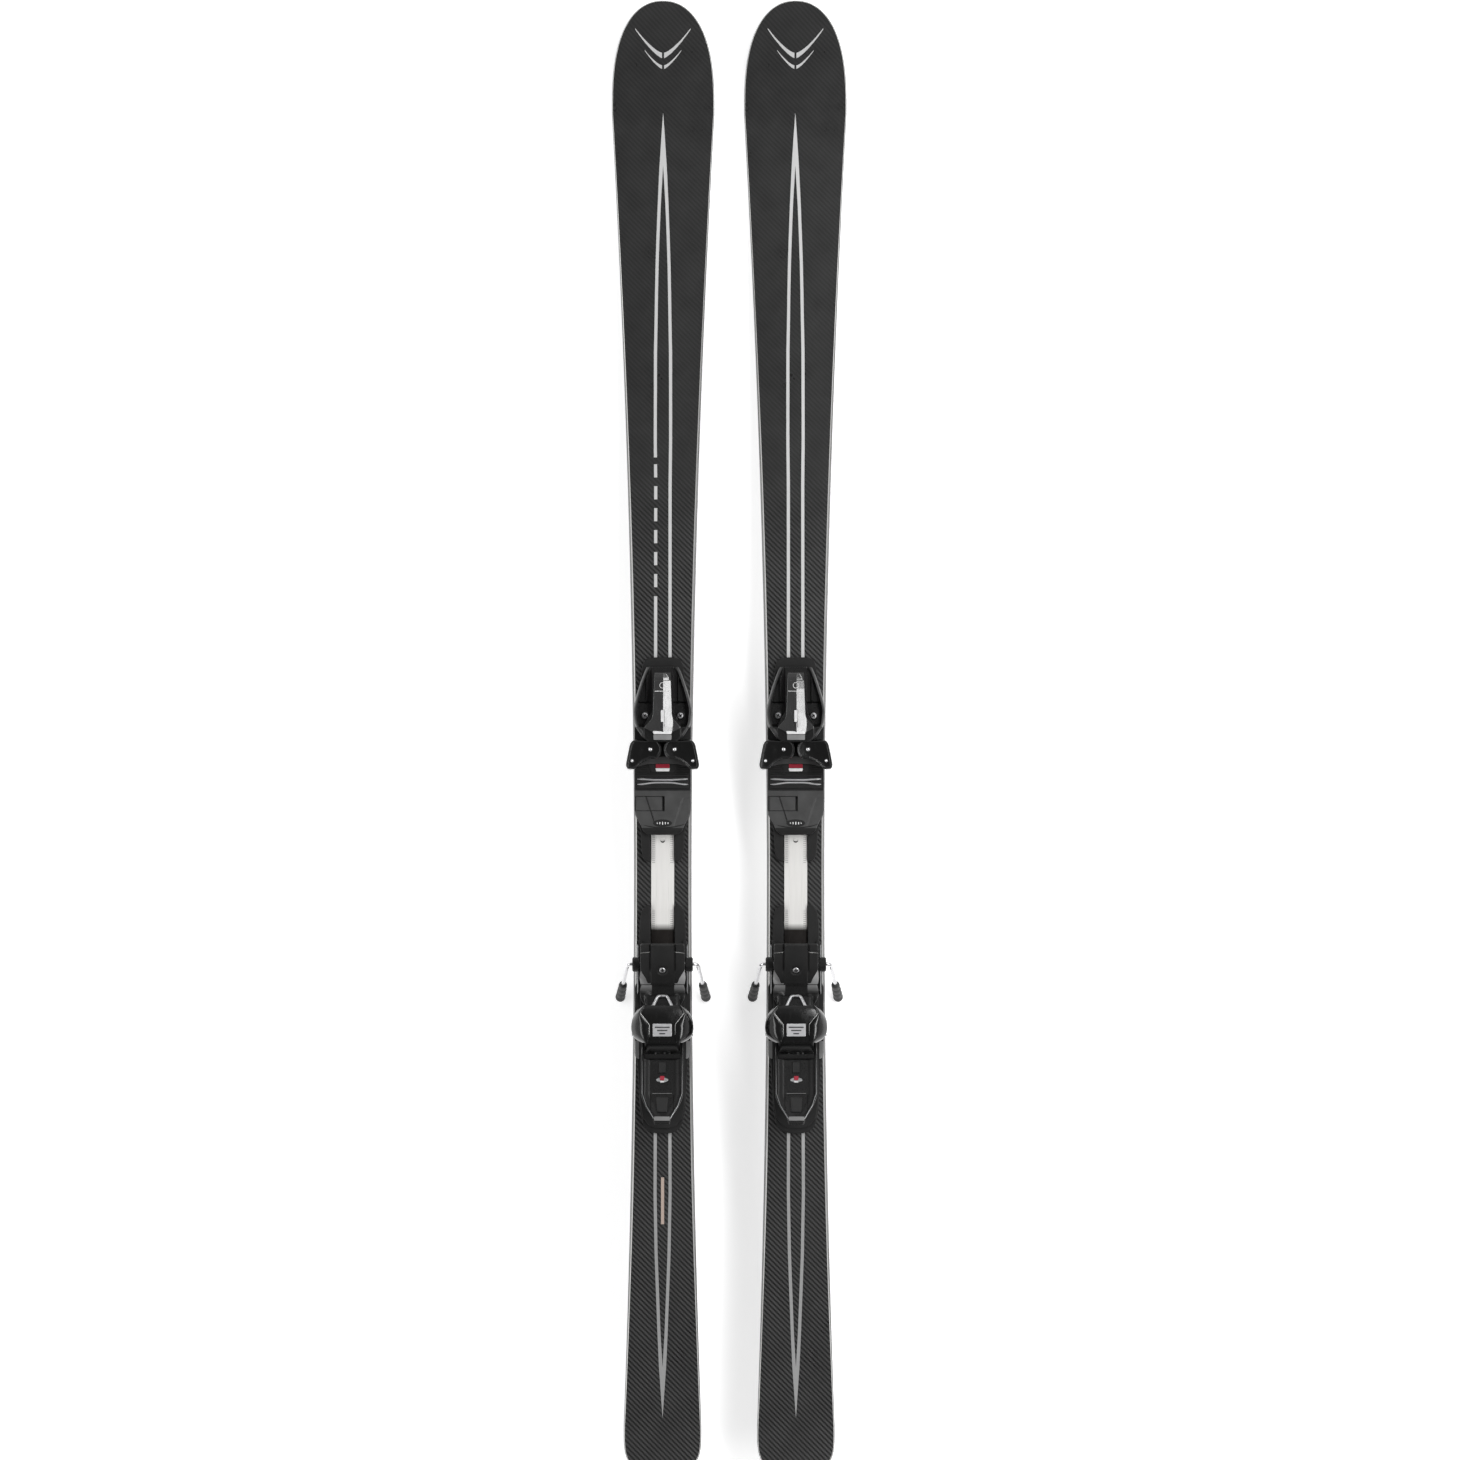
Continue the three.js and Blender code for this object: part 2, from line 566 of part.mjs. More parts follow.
const bindingPieces = {
  front_rail: [frontRail(), "matte"],
  rear_rail: [rearRail(), "matte"],
  length_band: [lengthBand(), "band"],
  toe_carriage: [toeCarriage(), "matte"],
  lock_button: [lockButton(), "matte"],
  toe_housing: [toeHousing(), "gloss"],
  toe_cover: [toeCover(), "gloss"],
  toe_wing_left: [wing(-1), "gloss"],
  toe_wing_right: [wing(1), "gloss"],
  wing_pin_left: [wingPin(-1), "steel"],
  wing_pin_right: [wingPin(1), "steel"],
  friction_plate: [frictionPlate(), "steel"],
  toe_spring: [toeSpring(), "steel"],
  toe_screw: [toeScrew(), "steel"],
  heel_carriage: [heelCarriage(), "matte"],
  heel_housing: [heelHousing(), "gloss"],
  heel_cup: [heelCup(), "gloss"],
  heel_lever: [heelLever(), "gloss"],
  heel_axle: [heelAxle(), "steel"],
  heel_spring: [heelSpring(), "steel"],
  heel_screw: [heelScrew(), "steel"],
  brake_wire: [brakeWire(), "steel"],
  brake_tip_left: [brakeTip(-1), "matte"],
  brake_tip_right: [brakeTip(1), "matte"],
  brake_pedal: [brakePedal(), "matte"],
};

function ski(side, sign) {
  const group = new THREE.Group();
  for (const [name, [shape, material]] of Object.entries({ ...skiPieces, ...bindingPieces })) {
    const mesh = new THREE.Mesh(geometryOf(shape), MATERIALS[material]);
    mesh.name = `${side}_${name}`;
    group.add(mesh);
  }
  group.rotation.x = -rad(STANCE.tilt);
  group.position.set((sign * SPACING) / 2, STANCE.forward, STANCE.up);
  return group;
}

const pair = new THREE.Group();
pair.add(ski("left", -1), ski("right", 1));

export default pair;
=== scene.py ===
"""A pair of alpine skis with bindings: the looks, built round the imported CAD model.

Every piece is drawn once, in millimetres in a ski's own frame, and placed on both skis. In that frame X is
across, Y is towards the tip and Z is up from the plane under the running base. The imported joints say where
it lies.
"""

import json
import math

import bpy
import numpy as np
from mathutils import Matrix, Vector


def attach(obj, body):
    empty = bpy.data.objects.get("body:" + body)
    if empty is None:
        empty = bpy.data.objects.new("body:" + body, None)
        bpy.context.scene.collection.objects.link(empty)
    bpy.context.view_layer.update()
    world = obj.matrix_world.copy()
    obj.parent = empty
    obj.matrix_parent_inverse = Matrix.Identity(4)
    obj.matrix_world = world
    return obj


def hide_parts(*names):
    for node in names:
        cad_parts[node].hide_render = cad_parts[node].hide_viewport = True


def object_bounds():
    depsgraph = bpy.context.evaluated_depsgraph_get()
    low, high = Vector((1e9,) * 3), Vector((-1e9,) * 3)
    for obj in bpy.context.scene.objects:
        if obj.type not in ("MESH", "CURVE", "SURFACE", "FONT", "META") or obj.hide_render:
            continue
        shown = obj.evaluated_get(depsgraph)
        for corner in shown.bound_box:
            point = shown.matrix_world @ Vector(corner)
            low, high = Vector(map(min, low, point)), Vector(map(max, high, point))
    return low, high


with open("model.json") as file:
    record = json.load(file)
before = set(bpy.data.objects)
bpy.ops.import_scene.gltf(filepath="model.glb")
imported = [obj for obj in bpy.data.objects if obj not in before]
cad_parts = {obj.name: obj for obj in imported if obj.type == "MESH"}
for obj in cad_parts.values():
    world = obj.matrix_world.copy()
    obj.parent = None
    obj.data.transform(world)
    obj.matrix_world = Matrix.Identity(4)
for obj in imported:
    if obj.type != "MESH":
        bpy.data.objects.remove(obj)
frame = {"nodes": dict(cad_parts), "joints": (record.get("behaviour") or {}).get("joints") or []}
cad_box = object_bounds()

MM = 0.001
SIDES = ("left", "right")
JOINTS = {joint["name"]: joint for joint in frame["joints"]}

# ---- Sizes of the design, in millimetres in a ski's own frame ----

HALF = 850  # half the ski's length
SHOVEL = (725, 59.8)  # where the outline is widest, and its half width there
WAIST = (-165, 33.4)
TAIL = (-800, 44.9)
FLAT_FRONT, FLAT_REAR, FLAT_HEIGHT = 100, -475, 4
CONTACT_FRONT, CONTACT_REAR = 670, -790
TIP_RISE, TAIL_RISE = 55, 8
RAIL_BOTTOM, RAIL_TOP = 20.3, 27.5
CARRIAGE_BOTTOM, CARRIAGE_TOP = 27.8, 31.2
HOUSING_FLOOR = 31.5
AXLE_Y, AXLE_Z = -348, 44
BRAKE_Y, BRAKE_Z = -267, 33
PEDAL_Y, PEDAL_Z, PEDAL_TILT = -288, 34.5, 33
TUNNEL_Z = 41.3
TOE_BORE_Z = 41


# ---- The frame of each ski ----


def ski_frame(side):
    """The matrix from a ski's own frame to the row frame, from the axes and axle that the joints state."""
    forward = Vector(JOINTS[f"{side}_toe_slide"]["axis"])
    up = Vector(JOINTS[f"{side}_toe_wing_right_swing"]["axis"])
    turn = Matrix((forward.cross(up), forward, up)).transposed().to_4x4()
    axle = Vector(JOINTS[f"{side}_heel_lever_lift"]["pos_m"])
    return Matrix.Translation(axle - turn @ Vector((0, AXLE_Y * MM, AXLE_Z * MM))) @ turn


SKI = {side: ski_frame(side) for side in SIDES}


def place(name, mesh, body, nodes=(), sides=SIDES):
    """Puts a mesh on the skis as a named piece that rides on a body and stands for CAD nodes."""
    for side in sides:
        piece = bpy.data.objects.new(f"{side}_{name}", mesh)
        bpy.context.scene.collection.objects.link(piece)
        piece.matrix_world = SKI[side]
        if nodes:
            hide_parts(*[f"{side}_{node}" for node in nodes])
        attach(piece, f"{side}_{body}")


# ---- Number tools ----


def ramp(value, low, high):
    """0 at low, 1 at high and smooth between them. low may be the larger one."""
    share = np.clip((np.asarray(value, float) - low) / (high - low), 0, 1)
    return share * share * (3 - 2 * share)


def band(value, low, high, soft):
    """1 between low and high, with soft ends."""
    return ramp(value, low - soft, low) * ramp(value, high + soft, high)


def along(y, stations):
    """Straight between [y, value] stations, listed from the tip to the tail."""
    ys, values = zip(*reversed(stations))
    return np.interp(y, ys, values)


def curve(y, stations):
    """A smooth curve through [y, value] stations, listed from the tip to the tail, with no overshoot."""
    ys, values = np.array(list(reversed(stations)), float).T
    steps = np.diff(ys)
    slopes = np.diff(values) / steps
    product = slopes[1:] * slopes[:-1]
    inner = np.where(product > 0, 2 * product / (slopes[1:] + slopes[:-1] + 1e-12), 0)
    tangents = np.concatenate([slopes[:1], inner, slopes[-1:]])
    at = np.clip(np.asarray(y, float), ys[0], ys[-1])
    i = np.clip(np.searchsorted(ys, at) - 1, 0, len(steps) - 1)
    t = (at - ys[i]) / steps[i]
    rise = (values[i + 1] - values[i]) * (3 - 2 * t) * t * t
    swing = (tangents[i] * (1 - t) - tangents[i + 1] * t) * t * (1 - t) * steps[i]
    return values[i] + rise + swing


def fixed(x):
    """A line along the ski at one place across it."""
    return lambda y: np.full_like(np.asarray(y, float), x)


def outline(stations, shift=0.0):
    """A smooth line along the ski through [y, x] stations, moved sideways by a shift."""
    return lambda y: curve(y, stations) + shift


def mirrored(*right):
    """Lines on the right, from the middle outwards, with their mirror images before them."""
    return [lambda y, line=line: -line(y) for line in reversed(right)] + list(right)


def rows(places, pitch=1.0, rim=0.8):
    """Stations through the given places, close together within the rim at both ends."""
    ease = [0, rim * 0.08, rim * 0.3, rim * 0.62]
    stops = [places[0] - rim, *places[1:-1], places[-1] + rim]
    ys = [places[0] - step for step in ease] + [stops[0]]
    for start, end in zip(stops, stops[1:]):
        count = max(1, math.ceil((start - end) / pitch))
        ys += [start + (end - start) * step / count for step in range(1, count + 1)]
    return ys + [places[-1] + step for step in reversed(ease)]


# ---- Mesh tools ----

LEAST_RADIUS = 0.05  # of a corner, so that rounding never gives a point twice
LONGEST_ARC = 0.48  # of a side, so that the arcs at its two ends never meet
SHARPEST_MITRE = 0.6  # keeps an acute corner from running away when it is moved inwards


def build(name, shells, materials, crease=35):
    """One mesh from shells of (points in mm, faces, material index of each face)."""
    points, faces, paint = [], [], []
    for shell_points, shell_faces, shell_paint in shells:
        start = len(points)
        points.extend(shell_points)
        faces.extend(tuple(start + i for i in face) for face in shell_faces)
        paint.extend(shell_paint)
    mesh = bpy.data.meshes.new(name)
    mesh.from_pydata([tuple(c * MM for c in point) for point in points], [], faces)
    mesh.validate()
    for material in materials:
        mesh.materials.append(material)
    mesh.polygons.foreach_set("material_index", paint)
    mesh.polygons.foreach_set("use_smooth", [True] * len(mesh.polygons))
    mesh.set_sharp_from_angle(angle=math.radians(crease))
    mesh.update()
    return mesh


def skin(name, shells, materials, body, crease=35):
    """Puts shells on both skis as the visible form of the CAD node of that name."""
    title = f"{name}_skin"
    place(title, build(title, shells, materials, crease), body, [name])


def outward(shell):
    """The shell with its faces turned to look outwards."""
    points, faces, paint = shell
    volume = 0.0
    for face in faces:
        a = Vector(points[face[0]])
        for j, k in zip(face[1:], face[2:]):
            volume += a.dot(Vector(points[j]).cross(Vector(points[k])))
    if volume < 0:
        faces = [tuple(reversed(face)) for face in faces]
    return points, faces, paint


def moved(shell, matrix):
    """The shell with every point taken through a matrix."""
    points, faces, paint = shell
    return outward(([tuple(matrix @ Vector(point)) for point in points], faces, paint))


def mirror(shell):
    """The shell's mirror image across the ski's centre line."""
    return moved(shell, Matrix.Scale(-1, 4, (1, 0, 0)))


def rings(loops, closed=False, paint=0):
    """A shell through loops of points. Its ends are capped unless the loops close on themselves."""
    count = len(loops[0])
    points = [tuple(point) for loop in loops for point in loop]
    faces = []
    last = len(loops) if closed else len(loops) - 1
    for i in range(last):
        here, there = i * count, (i + 1) % len(loops) * count
        for j in range(count):
            k = (j + 1) % count
            faces.append((here + j, here + k, there + k, there + j))
    if not closed:
        faces.append(tuple(reversed(range(count))))
        faces.append(tuple(range((len(loops) - 1) * count, len(loops) * count)))
    return outward((points, faces, [paint] * len(faces)))


def relief(ys, lines, top, bottom, pitch=1.2, rim=0.8, paint=None):
    """A moulding whose top is a height over its plan, with a rounded rim all the way round.

    ys are its stations along the ski. lines are functions of y, from the left edge to the right one. The
    mesh's columns run along them, so that a step in the height stays crisp where it follows a line.
    """
    ys = np.asarray(ys, float)
    knots = [line(ys) for line in lines]
    knots = np.array([knots[0], knots[0] + rim, *knots[1:-1], knots[-1] - rim, knots[-1]])
    knots = np.minimum(np.maximum.accumulate(knots), knots[-1])
    columns = [knots[0]]
    for low, high in zip(knots, knots[1:]):
        count = max(4 if len(columns) == 1 else 2, math.ceil(float(np.max(high - low)) / pitch))
        columns += [low + (high - low) * step / count for step in range(1, count + 1)]
    xs = np.stack(columns, axis=1)
    yy = np.repeat(ys[:, None], len(columns), axis=1)
    high = top(xs, yy)
    low = bottom(xs, yy) if callable(bottom) else np.full_like(xs, bottom)
    gap = np.minimum(np.minimum(xs - xs[:, :1], xs[:, -1:] - xs), np.minimum(yy - ys.min(), ys.max() - yy))
    short = np.clip(rim - gap, 0, rim)
    high = np.maximum(high - (rim - np.sqrt(rim * rim - short * short)), low + 0.1)
    chosen = paint(xs, yy) if paint else np.zeros_like(xs, int)
    return sheet(np.stack([xs, yy, high], axis=-1), np.stack([xs, yy, low], axis=-1), chosen)


def sheet(upper, lower, chosen):
    """A shell between two grids of points, with the material index of each cell."""
    count_y, count_x = upper.shape[:2]
    points = [tuple(point) for point in np.concatenate([upper.reshape(-1, 3), lower.reshape(-1, 3)])]
    under = count_y * count_x
    faces, shades = [], []
    for i in range(count_y - 1):
        for j in range(count_x - 1):
            a, b = i * count_x + j, (i + 1) * count_x + j
            faces.append((a, a + 1, b + 1, b))
            faces.append((under + a, under + b, under + b + 1, under + a + 1))
            shades += [int(chosen[i, j]), 0]
    border = list(range(count_x)) + [i * count_x + count_x - 1 for i in range(1, count_y)]
    border += [(count_y - 1) * count_x + j for j in range(count_x - 2, -1, -1)]
    border += [i * count_x for i in range(count_y - 2, 0, -1)]
    flat = chosen.reshape(-1)
    for a, b in zip(border, border[1:] + border[:1]):
        faces.append((b, a, under + a, under + b))
        shades.append(int(flat[a]))
    return outward((points, faces, shades))


def corner_arc(before, corner, after, cut, steps):
    """Points on a smooth arc that cuts a corner off at a distance to each side of it."""
    start = corner + (before - corner).normalized() * cut
    end = corner + (after - corner).normalized() * cut
    shares = [step / steps for step in range(steps + 1)]
    return [(1 - t) ** 2 * start + 2 * t * (1 - t) * corner + t * t * end for t in shares]


def rounded(points, radius, steps=5):
    """A closed plan outline with its corners rounded off."""
    corners = [Vector(point) for point in points]
    line = []
    for i, corner in enumerate(corners):
        before, after = corners[i - 1], corners[(i + 1) % len(corners)]
        shorter = min((before - corner).length, (after - corner).length)
        line += corner_arc(before, corner, after, min(radius, shorter * LONGEST_ARC), steps)
    return [tuple(point) for point in line]


def both_sides(points):
    """A right-hand outline from front to rear, closed by its mirror image."""
    return [*points, *[(-x, y) for x, y in reversed(points)]]


def inset(points, distance):
    """A closed outline moved inwards by a distance."""
    corners = np.array(points, float)
    following = np.roll(corners, -1, axis=0)
    area = np.sum(corners[:, 0] * following[:, 1] - following[:, 0] * corners[:, 1])
    edge = following - corners
    edge /= np.maximum(np.linalg.norm(edge, axis=1, keepdims=True), 1e-9)
    normal = np.stack([-edge[:, 1], edge[:, 0]], axis=1) * np.sign(area)
    mitre = normal + np.roll(normal, 1, axis=0)
    mitre /= np.maximum(np.sum(mitre * mitre, axis=1, keepdims=True) / 2, SHARPEST_MITRE)
    return corners + mitre * distance


def inner_ring(points, radius, distance):
    """A sharp outline moved inwards, and then rounded to suit."""
    return rounded(inset(points, distance), max(radius - distance, LEAST_RADIUS))


def terrace(points, radius, profile, paint=0):
    """A plate whose rim follows a profile of (inset, height) steps, from its underside to its top."""
    loops = [[(x, y, z) for x, y in inner_ring(points, radius, distance)] for distance, z in profile]
    return rings(loops, paint=paint)


def plate(points, radius, low, high, edge=0.8, paint=0):
    """A plate with rounded corners and upper edge, and a small chamfer underneath."""
    turns = [math.radians(a) for a in (0, 30, 60, 90)]
    upper = [(edge * (1 - math.cos(a)), high - edge + edge * math.sin(a)) for a in turns]
    return terrace(points, radius, [(0.2, low), (0, low + 0.2), *upper, (edge + 0.25, high)], paint)


def slab(points, radius, left, right, edge=0.5, paint=0):
    """A plate that stands along the ski: a side profile of (y, z) points between two places across."""
    steps = ((edge, left), (0, left + edge), (0, right - edge), (edge, right))
    loops = [[(x, y, z) for y, z in inner_ring(points, radius, distance)] for distance, x in steps]
    return rings(loops, paint=paint)


def round_plate(x, y, across, length, low, high, edge=0.2, paint=0):
    """An oval plate."""
    turns = np.linspace(0, 2 * math.pi, 40, endpoint=False)
    oval = [(x + across * math.cos(a), y + length * math.sin(a)) for a in turns]
    return plate(oval, LEAST_RADIUS, low, high, edge, paint)


def disc(centre, radius, top, depth, segments=40, steps=10, paint=0):
    """A round piece whose top is a height over its radius and its place, standing on the Z axis."""
    points, faces = [], []
    radii = [radius, *[radius * math.cos(a) for a in np.linspace(0, math.pi / 2 - 0.08, steps)]]
    for i, r in enumerate(radii):
        for j in range(segments):
            a = 2 * math.pi * j / segments
            x, y = r * math.cos(a), r * math.sin(a)
            points.append((x, y, -depth if i == 0 else top(r, x, y)))
    for i in range(len(radii) - 1):
        for j in range(segments):
            k = (j + 1) % segments
            a, b = i * segments, (i + 1) * segments
            faces.append((a + j, a + k, b + k, b + j))
    faces.append(tuple(reversed(range(segments))))
    faces.append(tuple(range((len(radii) - 1) * segments, len(radii) * segments)))
    return moved((points, faces, [paint] * len(faces)), Matrix.Translation(centre))


def cross_head(radius):
    """A pan head's height, with a cross cut into it."""

    arm, reach, depth, rise = radius * 0.17, radius * 0.66, radius * 0.3, radius * 0.2

    def top(r, x, y):
        cut = min(abs(x), abs(y)) < arm and r < reach
        return rise * (1 - (r / radius) ** 4) - (depth if cut else 0)

    return top


def slot_head(radius):
    """A flat head's height, with one straight slot across it."""

    slot, reach, depth, bevel = radius * 0.14, radius * 0.88, 1.6, 0.5

    def top(r, x, y):
        cut = abs(x) < slot and r < reach
        return bevel * ramp(r, radius, radius * 0.9) - (depth if cut else 0)

    return top


def domed(radius):
    """A rivet's height."""
    return lambda r, x, y: radius * 0.45 * (1 - (r / radius) ** 2)


def sweep(path, radius, segments=16, paint=0):
    """A round bar along a list of points. radius is a number, or a function of the share of the way."""
    points = [Vector(point) for point in path]
    tangents = [(b - a).normalized() for a, b in zip(points, points[1:])]
    tangents = [tangents[0], *[(a + b).normalized() for a, b in zip(tangents, tangents[1:])], tangents[-1]]
    side = tangents[0].orthogonal().normalized()
    loops = []
    for i, (point, tangent) in enumerate(zip(points, tangents)):
        side = (side - tangent * side.dot(tangent)).normalized()
        other = tangent.cross(side)
        share = i / (len(points) - 1)
        size = radius(share) if callable(radius) else radius
        loop = []
        for j in range(segments):
            a = 2 * math.pi * j / segments
            loop.append(tuple(point + (side * math.cos(a) + other * math.sin(a)) * size))
        loops.append(loop)
    return rings(loops, paint=paint)


def bent(points, radius, steps=8):
    """A path of straight runs with rounded corners."""
    corners = [Vector(point) for point in points]
    path = [corners[0]]
    for before, corner, after in zip(corners, corners[1:], corners[2:]):
        path += corner_arc(before, corner, after, radius, steps)
    return [*path, corners[-1]]


# ---- Materials ----


def grey(value):
    return (value, value, value, 1)


class Look:
    """A Principled material with short ways to add the nodes that this model uses."""

    def __init__(self, name, color, roughness, metallic=0.0, **sockets):
        self.material = bpy.data.materials.new(name)
        self.material.use_nodes = True
        self.nodes = self.material.node_tree.nodes
        self.links = self.material.node_tree.links
        self.shader = self.nodes["Principled BSDF"]
        self.set("Base Color", (*color, 1) if isinstance(color, tuple) else grey(color))
        self.set("Roughness", roughness)
        self.set("Metallic", metallic)
        for socket, value in sockets.items():
            self.set(socket.replace("_", " "), value)
        self.place = self.node("ShaderNodeTexCoord").outputs["Object"]

    def set(self, socket, value):
        self.feed(self.shader.inputs[socket], value)

    def node(self, kind, **settings):
        node = self.nodes.new(kind)
        for key, value in settings.items():
            setattr(node, key, value)
        return node

    def feed(self, socket, value):
        if hasattr(value, "links"):
            self.links.new(value, socket)
        else:
            socket.default_value = value

    def math(self, operation, *values):
        node = self.node("ShaderNodeMath", operation=operation)
        for socket, value in zip(node.inputs, values):
            self.feed(socket, value)
        return node.outputs[0]

    def stretched(self, scale):
        """The piece's own coordinates, scaled along each axis."""
        node = self.node("ShaderNodeMapping")
        self.feed(node.inputs["Vector"], self.place)
        node.inputs["Scale"].default_value = scale
        return node.outputs[0]

    def noise(self, scale, detail=3.0, rough=0.55, vector=None):
        node = self.node("ShaderNodeTexNoise")
        self.feed(node.inputs["Vector"], vector or self.place)
        node.inputs["Scale"].default_value = scale
        node.inputs["Detail"].default_value = detail
        node.inputs["Roughness"].default_value = rough
        return node.outputs["Fac"]

    def between(self, value, low, high, to_low, to_high):
        """Maps a value from one range to another, and holds it there."""
        node = self.node("ShaderNodeMapRange")
        self.feed(node.inputs["Value"], value)
        for socket, number in zip(("From Min", "From Max", "To Min", "To Max"), (low, high, to_low, to_high)):
            node.inputs[socket].default_value = number
        return node.outputs[0]

    def vary(self, socket, noise, low, high):
        """Lets a socket drift between two values with a noise."""
        self.set(socket, self.between(noise, 0.3, 0.7, low, high))

    def mixed(self, factor, first, second):
        node = self.node("ShaderNodeMix", data_type="RGBA")
        self.feed(node.inputs[0], factor)
        self.feed(node.inputs[6], first)
        self.feed(node.inputs[7], second)
        return node.outputs[2]

    def bump(self, height, strength, distance):
        node = self.node("ShaderNodeBump")
        node.inputs["Strength"].default_value = strength
        node.inputs["Distance"].default_value = distance
        self.feed(node.inputs["Height"], height)
        self.links.new(node.outputs[0], self.shader.inputs["Normal"])

    def axes(self):
        node = self.node("ShaderNodeSeparateXYZ")
        self.feed(node.inputs[0], self.place)
        return node.outputs


def carbon():
    """A clear-coated 2/2 twill of 1.5 mm tows. It fades on the forebody."""
    look = Look("carbon_topsheet", 0.03, 0.4, Coat_Weight=0.3, Coat_Roughness=0.2, Specular_IOR_Level=0.3)
    x, y, _ = look.axes()
    tow = 1 / (1.5 * MM)
    u, v = look.math("MULTIPLY", x, tow), look.math("MULTIPLY", y, tow)
    steps = look.math("ADD", look.math("FLOOR", u), look.math("FLOOR", v))
    phase = look.math("FLOORED_MODULO", steps, 4.0)
    warp = look.math("LESS_THAN", phase, 2.0)
    crowns = []
    for share in (u, v):
        turn = look.math("MULTIPLY", look.math("FRACT", share), math.pi)
        crowns.append(look.math("SINE", turn))
    crown = look.mixed(warp, crowns[1], crowns[0])
    patchy = look.between(look.noise(9, vector=look.stretched((3, 1, 1))), 0.35, 0.65, 0.75, 1.0)
    rearward = look.between(y, 0.31, 0.17, 0.16, 1.0)
    strength = look.math("MULTIPLY", rearward, patchy)
    dark = look.mixed(look.noise(500), grey(0.003), grey(0.006))
    light = look.mixed(look.noise(700, vector=look.stretched((1, 0.2, 1))), grey(0.045), grey(0.075))
    weave = look.mixed(warp, dark, light)
    plain = look.mixed(look.noise(60), grey(0.017), grey(0.023))
    look.set("Base Color", look.mixed(strength, plain, weave))
    look.vary("Roughness", look.noise(35), 0.27, 0.4)
    look.bump(look.math("MULTIPLY", crown, strength), 0.25, 0.00012)
    return look.material


def moulded(name, color, roughness, grain=900, depth=0.35, **sockets):
    """A moulded plastic with a fine grain and faint tonal drift."""
    look = Look(name, color, roughness, Specular_IOR_Level=0.3, **sockets)
    drift = look.between(look.noise(45), 0.3, 0.7, 0.0, 1.0)
    dark, light = grey(color * 0.8), grey(color * 1.25)
    look.set("Base Color", look.mixed(drift, dark, light))
    speck = look.noise(grain, detail=4)
    look.vary("Roughness", speck, roughness * 0.85, roughness * 1.15)
    look.bump(speck, depth, 0.00008)
    return look.material


def polished(name, color, shine=0.45, coat=0.3):
    """A polished black moulding with hairline scuffs."""
    look = Look(name, color, 0.2, Coat_Weight=coat, Coat_Roughness=0.08, Specular_IOR_Level=shine)
    scuffs = look.noise(260, detail=5, rough=0.7, vector=look.stretched((1, 0.25, 1)))
    look.set("Roughness", look.between(scuffs, 0.45, 0.75, 0.18, 0.32))
    drift = look.noise(30)
    look.set("Base Color", look.mixed(drift, grey(color * 0.7), grey(color * 1.5)))
    look.bump(look.noise(1500), 0.06, 0.00004)
    return look.material


def metal(name, color, roughness, lines=(1, 1, 1), depth=0.15):
    """A metal with fine lines: the larger a scale, the closer the lines along that axis."""
    look = Look(name, color, roughness, 1.0)
    grain = look.noise(400, detail=4, rough=0.65, vector=look.stretched(lines))
    look.vary("Roughness", grain, roughness * 0.75, roughness * 1.35)
    tone = look.noise(50)
    dark, light = tuple(c * 0.86 for c in color), tuple(min(1, c * 1.08) for c in color)
    look.set("Base Color", look.mixed(tone, (*dark, 1), (*light, 1)))
    look.bump(grain, depth, 0.00004)
    return look.material


def inlay():
    """Silver foil under the clear layer."""
    look = Look("silver_inlay", (0.72, 0.71, 0.7), 0.42, 0.35, Coat_Weight=0.5, Coat_Roughness=0.1)
    flake = look.noise(1400, detail=2)
    y = look.axes()[1]
    rear = look.between(y, -0.4, -0.5, 0.0, 1.0)
    front = look.mixed(flake, grey(0.58), grey(0.68))
    back = look.mixed(flake, grey(0.32), grey(0.42))
    look.set("Base Color", look.mixed(rear, front, back))
    look.bump(flake, 0.08, 0.00003)
    return look.material


def rose():
    """The copper-toned bar on the left ski's tail."""
    look = Look("rose_inlay", (0.7, 0.52, 0.42), 0.35, 0.5)
    flake = look.noise(1200, detail=2)
    look.set("Base Color", look.mixed(flake, (0.5, 0.36, 0.3, 1), (0.8, 0.68, 0.6, 1)))
    look.bump(flake, 0.08, 0.00003)
    return look.material


def ruled():
    """The length band: satin white aluminium, with scale marks near both edges, and painted shade where it
    runs under the heel.
    """
    look = Look("length_band_white", (0.86, 0.85, 0.83), 0.42, Specular_IOR_Level=0.25)
    x, y, _ = look.axes()
    away = look.math("ABSOLUTE", x)
    inner, outer = look.math("GREATER_THAN", away, 0.0088), look.math("LESS_THAN", away, 0.0122)
    lane = look.math("MULTIPLY", inner, outer)
    pitch = look.math("FRACT", look.math("MULTIPLY", y, 1 / 0.0022))
    tick = look.math("LESS_THAN", pitch, 0.4)
    front = look.math("GREATER_THAN", y, -0.150)
    rear = look.math("LESS_THAN", y, -0.204)
    ends = look.math("MAXIMUM", front, rear)
    mark = look.math("MULTIPLY", look.math("MULTIPLY", lane, tick), ends)
    smear = look.between(look.noise(80), 0.3, 0.7, 0.35, 0.75)
    brushing = look.noise(300, vector=look.stretched((1, 0.05, 1)))
    white = look.mixed(brushing, (0.70, 0.69, 0.67, 1), (0.80, 0.79, 0.77, 1))
    marked = look.mixed(look.math("MULTIPLY", mark, smear), white, grey(0.22))
    # painted shade: near-black towards the rear, where the raised pedal and heel shade the band
    shade = look.between(y, -0.2195, -0.2275, 0.0, 1.0)
    look.set("Base Color", look.mixed(shade, marked, (0.009, 0.007, 0.006, 1)))
    look.vary("Roughness", look.noise(200), 0.32, 0.44)
    look.bump(look.noise(500, vector=look.stretched((1, 0.04, 1))), 0.12, 0.00003)
    return look.material


